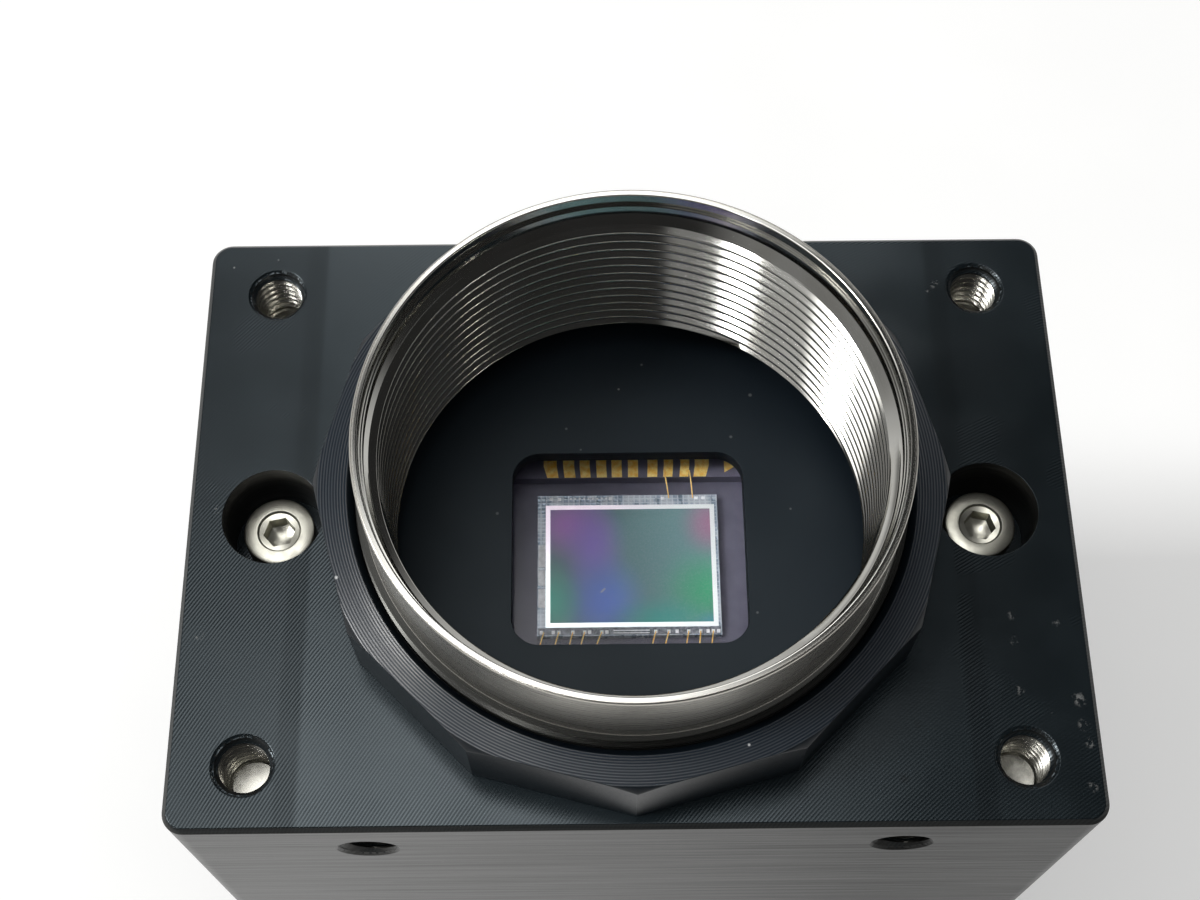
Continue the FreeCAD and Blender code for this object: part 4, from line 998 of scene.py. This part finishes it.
def make_sensor_chip():
    """The chip: pixel field, its bright frame, and the circuits and pads round it."""
    left, low, right, high = ACTIVE
    top = DIE_HIGH.z
    layers_start = top - 0.03
    x0, y0, x1, y1 = DIE_LOW.x, DIE_LOW.y, DIE_HIGH.x, DIE_HIGH.y
    frame_left, frame_low = left - BORDER, low - BORDER
    frame_right, frame_high = right + BORDER, high + BORDER
    form = Form()

    def layer(below_top, *spans):
        """Flat boxes on the silicon, each given as left, low, right, high."""
        for span in spans:
            form.box((*span[:2], layers_start), (*span[2:], top - below_top))

    form.box((x0, y0, DIE_LOW.z), (x1, y1, layers_start))
    form.finish = 1
    layer(0.018, ACTIVE)
    form.finish = 2
    layer(0.010, (frame_left, frame_low, frame_right, low),
          (frame_left, high, frame_right, frame_high), (frame_left, low, left, high),
          (right, low, frame_right, high))
    form.finish = 3
    layer(0.022, (x0 + 0.05, y0 + 0.04, x1 - 0.05, frame_low - 0.03))

    form.finish = 4
    low_pads = [-4.85, -4.20, -3.89, -3.12, -2.47, -2.20, -1.53, -1.25, 1.43, 2.15, 2.60, 3.24,
                3.90, 4.30, 4.59, 4.88]
    high_pads = [-4.30, -3.85, -0.95, 2.00, 3.90, 4.30]
    cells, cell_pitch, first_cell = 9, 0.25, -3.2
    layer(0.004, *[(x - 0.09, y0 + 0.10, x + 0.09, y0 + 0.30) for x in low_pads])
    layer(0.012, *[(-0.9, y0 + near, 1.1, y0 + far) for near, far in ((0.12, 0.16), (0.26, 0.31))])
    layer(0.006, *[(x - 0.10, y1 - 0.28, x + 0.10, y1 - 0.12) for x in high_pads])
    for step in range(cells):
        x = first_cell + cell_pitch * step
        layer(0.010, (x - 0.05, y1 - 0.24, x + 0.05, y1 - 0.14))
    layer(0.012, *[(x0 + 0.04, low + start, frame_left - 0.02, low + end)
                   for start, end in ((0.9, 2.0), (2.2, 3.1), (3.3, 4.6))])
    strip = mottled("sensor_strip", (0.05, 0.06, 0.07), (0.20, 0.22, 0.24), 0.35, scale=6.0,
                    depth=0.003)
    pad_metal = mottled("sensor_pads", (0.70, 0.72, 0.70), (0.90, 0.92, 0.90), 0.35, scale=4.0,
                        depth=0.003)
    form.piece("sensor_chip", [sensor_silicon(), active_area(), sensor_border(), strip, pad_metal],
               "housing", "silicon_die", ["sensor_die"])


def make_sensor():
    paint(CERAMIC, "sensor_package")
    paint(cover_glass_material(), "cover_glass")
    paint(RUBBER, "dust_gasket")
    paint(CARRIER, "sensor_carrier")
    paint(GOLD, "sensor_leads")
    make_fingers()
    make_bond_wires()
    make_sensor_chip()


# ---------------------------------------------------------------- boards and connectors

def paint_inside():
    paint(BOARD, "sensor_board", "processor_board", "interface_board")
    paint(CHIP, "processor_chip", "memory_chips", "network_chip", "network_transformer",
          "power_coils")
    paint(TIN, "oscillator", "jack_shield")
    paint(BLACK_PLASTIC, "front_board_connector", "rear_board_connector", "jack_insert",
          "port_insert")
    paint(BRASS, "front_spacers", "rear_spacers")
    paint(COVER_STEEL, "stack_screws")
    paint(GOLD, "jack_contacts", "port_pins")
    paint(SATIN, "port_shell")
    paint(LIGHT_PIPE, "light_pipe")
    paint(WHITE_PLASTIC, "light_chip")


# ---------------------------------------------------------------- studio

VIEW_POINT = Vector((-1.889, -35.882, FRONT + 85.402))
VIEW_TILT = 24.81      # degrees from straight down
VIEW_HEADING, VIEW_ROLL = -0.50, -0.12
VIEW_LENS, FILM_WIDTH = 53.40, 36.0

# what mirrors and glass see: direction, full and fading reach in degrees, brightness
PANELS = [
    ((-0.13, 0.12, 0.98), 9, 18, 4.8),
    ((-0.05, 0.68, 0.73), 8, 16, 5.0),
    ((-0.41, -0.475, 0.78), 1.8, 4.2, 36.0),
    ((-0.42, -0.46, 0.78), 17, 20, 0.30),
    ((-0.72, 0.02, 0.69), 12, 17, 2.6),
]
HORIZON, CEILING, LEFT_CEILING = 1.0, 0.03, 0.30
SKY_LOW, SKY_HIGH = 0.18, 2.00
KEY_DIRECTION, KEY_DISTANCE, KEY_SIZE, KEY_RADIANCE = (-0.70, -0.06, 0.71), 1.20, (0.20, 0.50), 31.0
FLOOR_REACH, FLOOR_GLOW = 3.0, 0.24


def make_camera():
    data = bpy.data.cameras.new("Camera")
    data.sensor_width = FILM_WIDTH
    data.lens = VIEW_LENS
    data.clip_start = 0.005
    camera = placed_object("Camera", data)
    camera.location = VIEW_POINT * MM
    turn = (Matrix.Rotation(math.radians(VIEW_HEADING), 4, "Z")
            @ Matrix.Rotation(math.radians(VIEW_TILT), 4, "X")
            @ Matrix.Rotation(math.radians(VIEW_ROLL), 4, "Z"))
    camera.rotation_euler = turn.to_euler()
    bpy.context.scene.camera = camera


def make_key_light():
    """A rectangular softbox that faces the middle of the front face."""
    width, height = KEY_SIZE
    data = bpy.data.lights.new("KeySoftbox", "AREA")
    data.shape = "RECTANGLE"
    data.size, data.size_y = width, height
    data.energy = KEY_RADIANCE * math.pi * width * height
    lamp = placed_object("KeySoftbox", data)
    aim = Vector(KEY_DIRECTION).normalized()
    lamp.location = Vector((0, 0, FRONT * MM)) + aim * KEY_DISTANCE
    lamp.rotation_euler = aim.to_track_quat("Z", "Y").to_euler()


def make_world():
    """Soft light from above for matt things. The eye, mirrors and glass see a white horizon
    under a dark ceiling with panels."""
    world = bpy.data.worlds.new("Studio")
    bpy.context.scene.world = world
    n = Nodes(world)
    place = n.add("ShaderNodeTexCoord").outputs["Generated"]
    x, _, z = n.split(place)
    ceiling = n.rise(x, -0.30, -0.60, CEILING, LEFT_CEILING)
    sky = n.rise(z, 0.12, 0.30, HORIZON, ceiling)
    for direction, full, fading, brightness in PANELS:
        aim = n.add("ShaderNodeVectorMath", operation="DOT_PRODUCT")
        n.feed(aim.inputs[0], place)
        n.feed(aim.inputs[1], Vector(direction).normalized())
        glow = n.rise(aim.outputs["Value"], math.cos(math.radians(fading)),
                      math.cos(math.radians(full)), 0.0, brightness)
        sky = n.plus(sky, glow)
    overhead = n.rise(z, 0.80, 0.93, SKY_LOW, SKY_HIGH)
    background = n.add("ShaderNodeBackground")
    n.feed(background.inputs["Strength"], n.blend(n.seen(), overhead, sky))
    output = n.add("ShaderNodeOutputWorld")
    n.feed(output.inputs[0], background.outputs[0])


def make_floor():
    """A white table. The eye, mirrors and glass also see it glow a little."""
    mesh = bpy.data.meshes.new("Floor")
    corners = [(x * FLOOR_REACH, y * FLOOR_REACH, 0.0)
               for x, y in ((-1, -1), (1, -1), (1, 1), (-1, 1))]
    mesh.from_pydata(corners, [], [(0, 1, 2, 3)])
    floor = placed_object("Floor", mesh)
    s = Surface("white_table")
    paper = s.noise(s.place, 0.05, 3.0)
    white = s.mix(s.rise(paper, 0.3, 0.7), (0.80, 0.80, 0.79), (0.82, 0.82, 0.81))
    matt = s.add("ShaderNodeBsdfDiffuse")
    s.feed(matt.inputs[0], white)
    glow = s.add("ShaderNodeEmission")
    s.feed(glow.inputs["Strength"], s.times(s.seen(), FLOOR_GLOW))
    both = s.add("ShaderNodeAddShader")
    s.feed(both.inputs[0], matt.outputs[0])
    s.feed(both.inputs[1], glow.outputs[0])
    s.show(both)
    mesh.materials.append(s.material)


make_housing()
make_hole_threads()
make_mount_ring()
make_lock_ring()
make_clamp_screws()
make_cover_screws()
make_sensor()
paint_inside()
make_camera()
make_key_light()
make_world()
make_floor()
bpy.context.scene.view_settings.view_transform = "Standard"
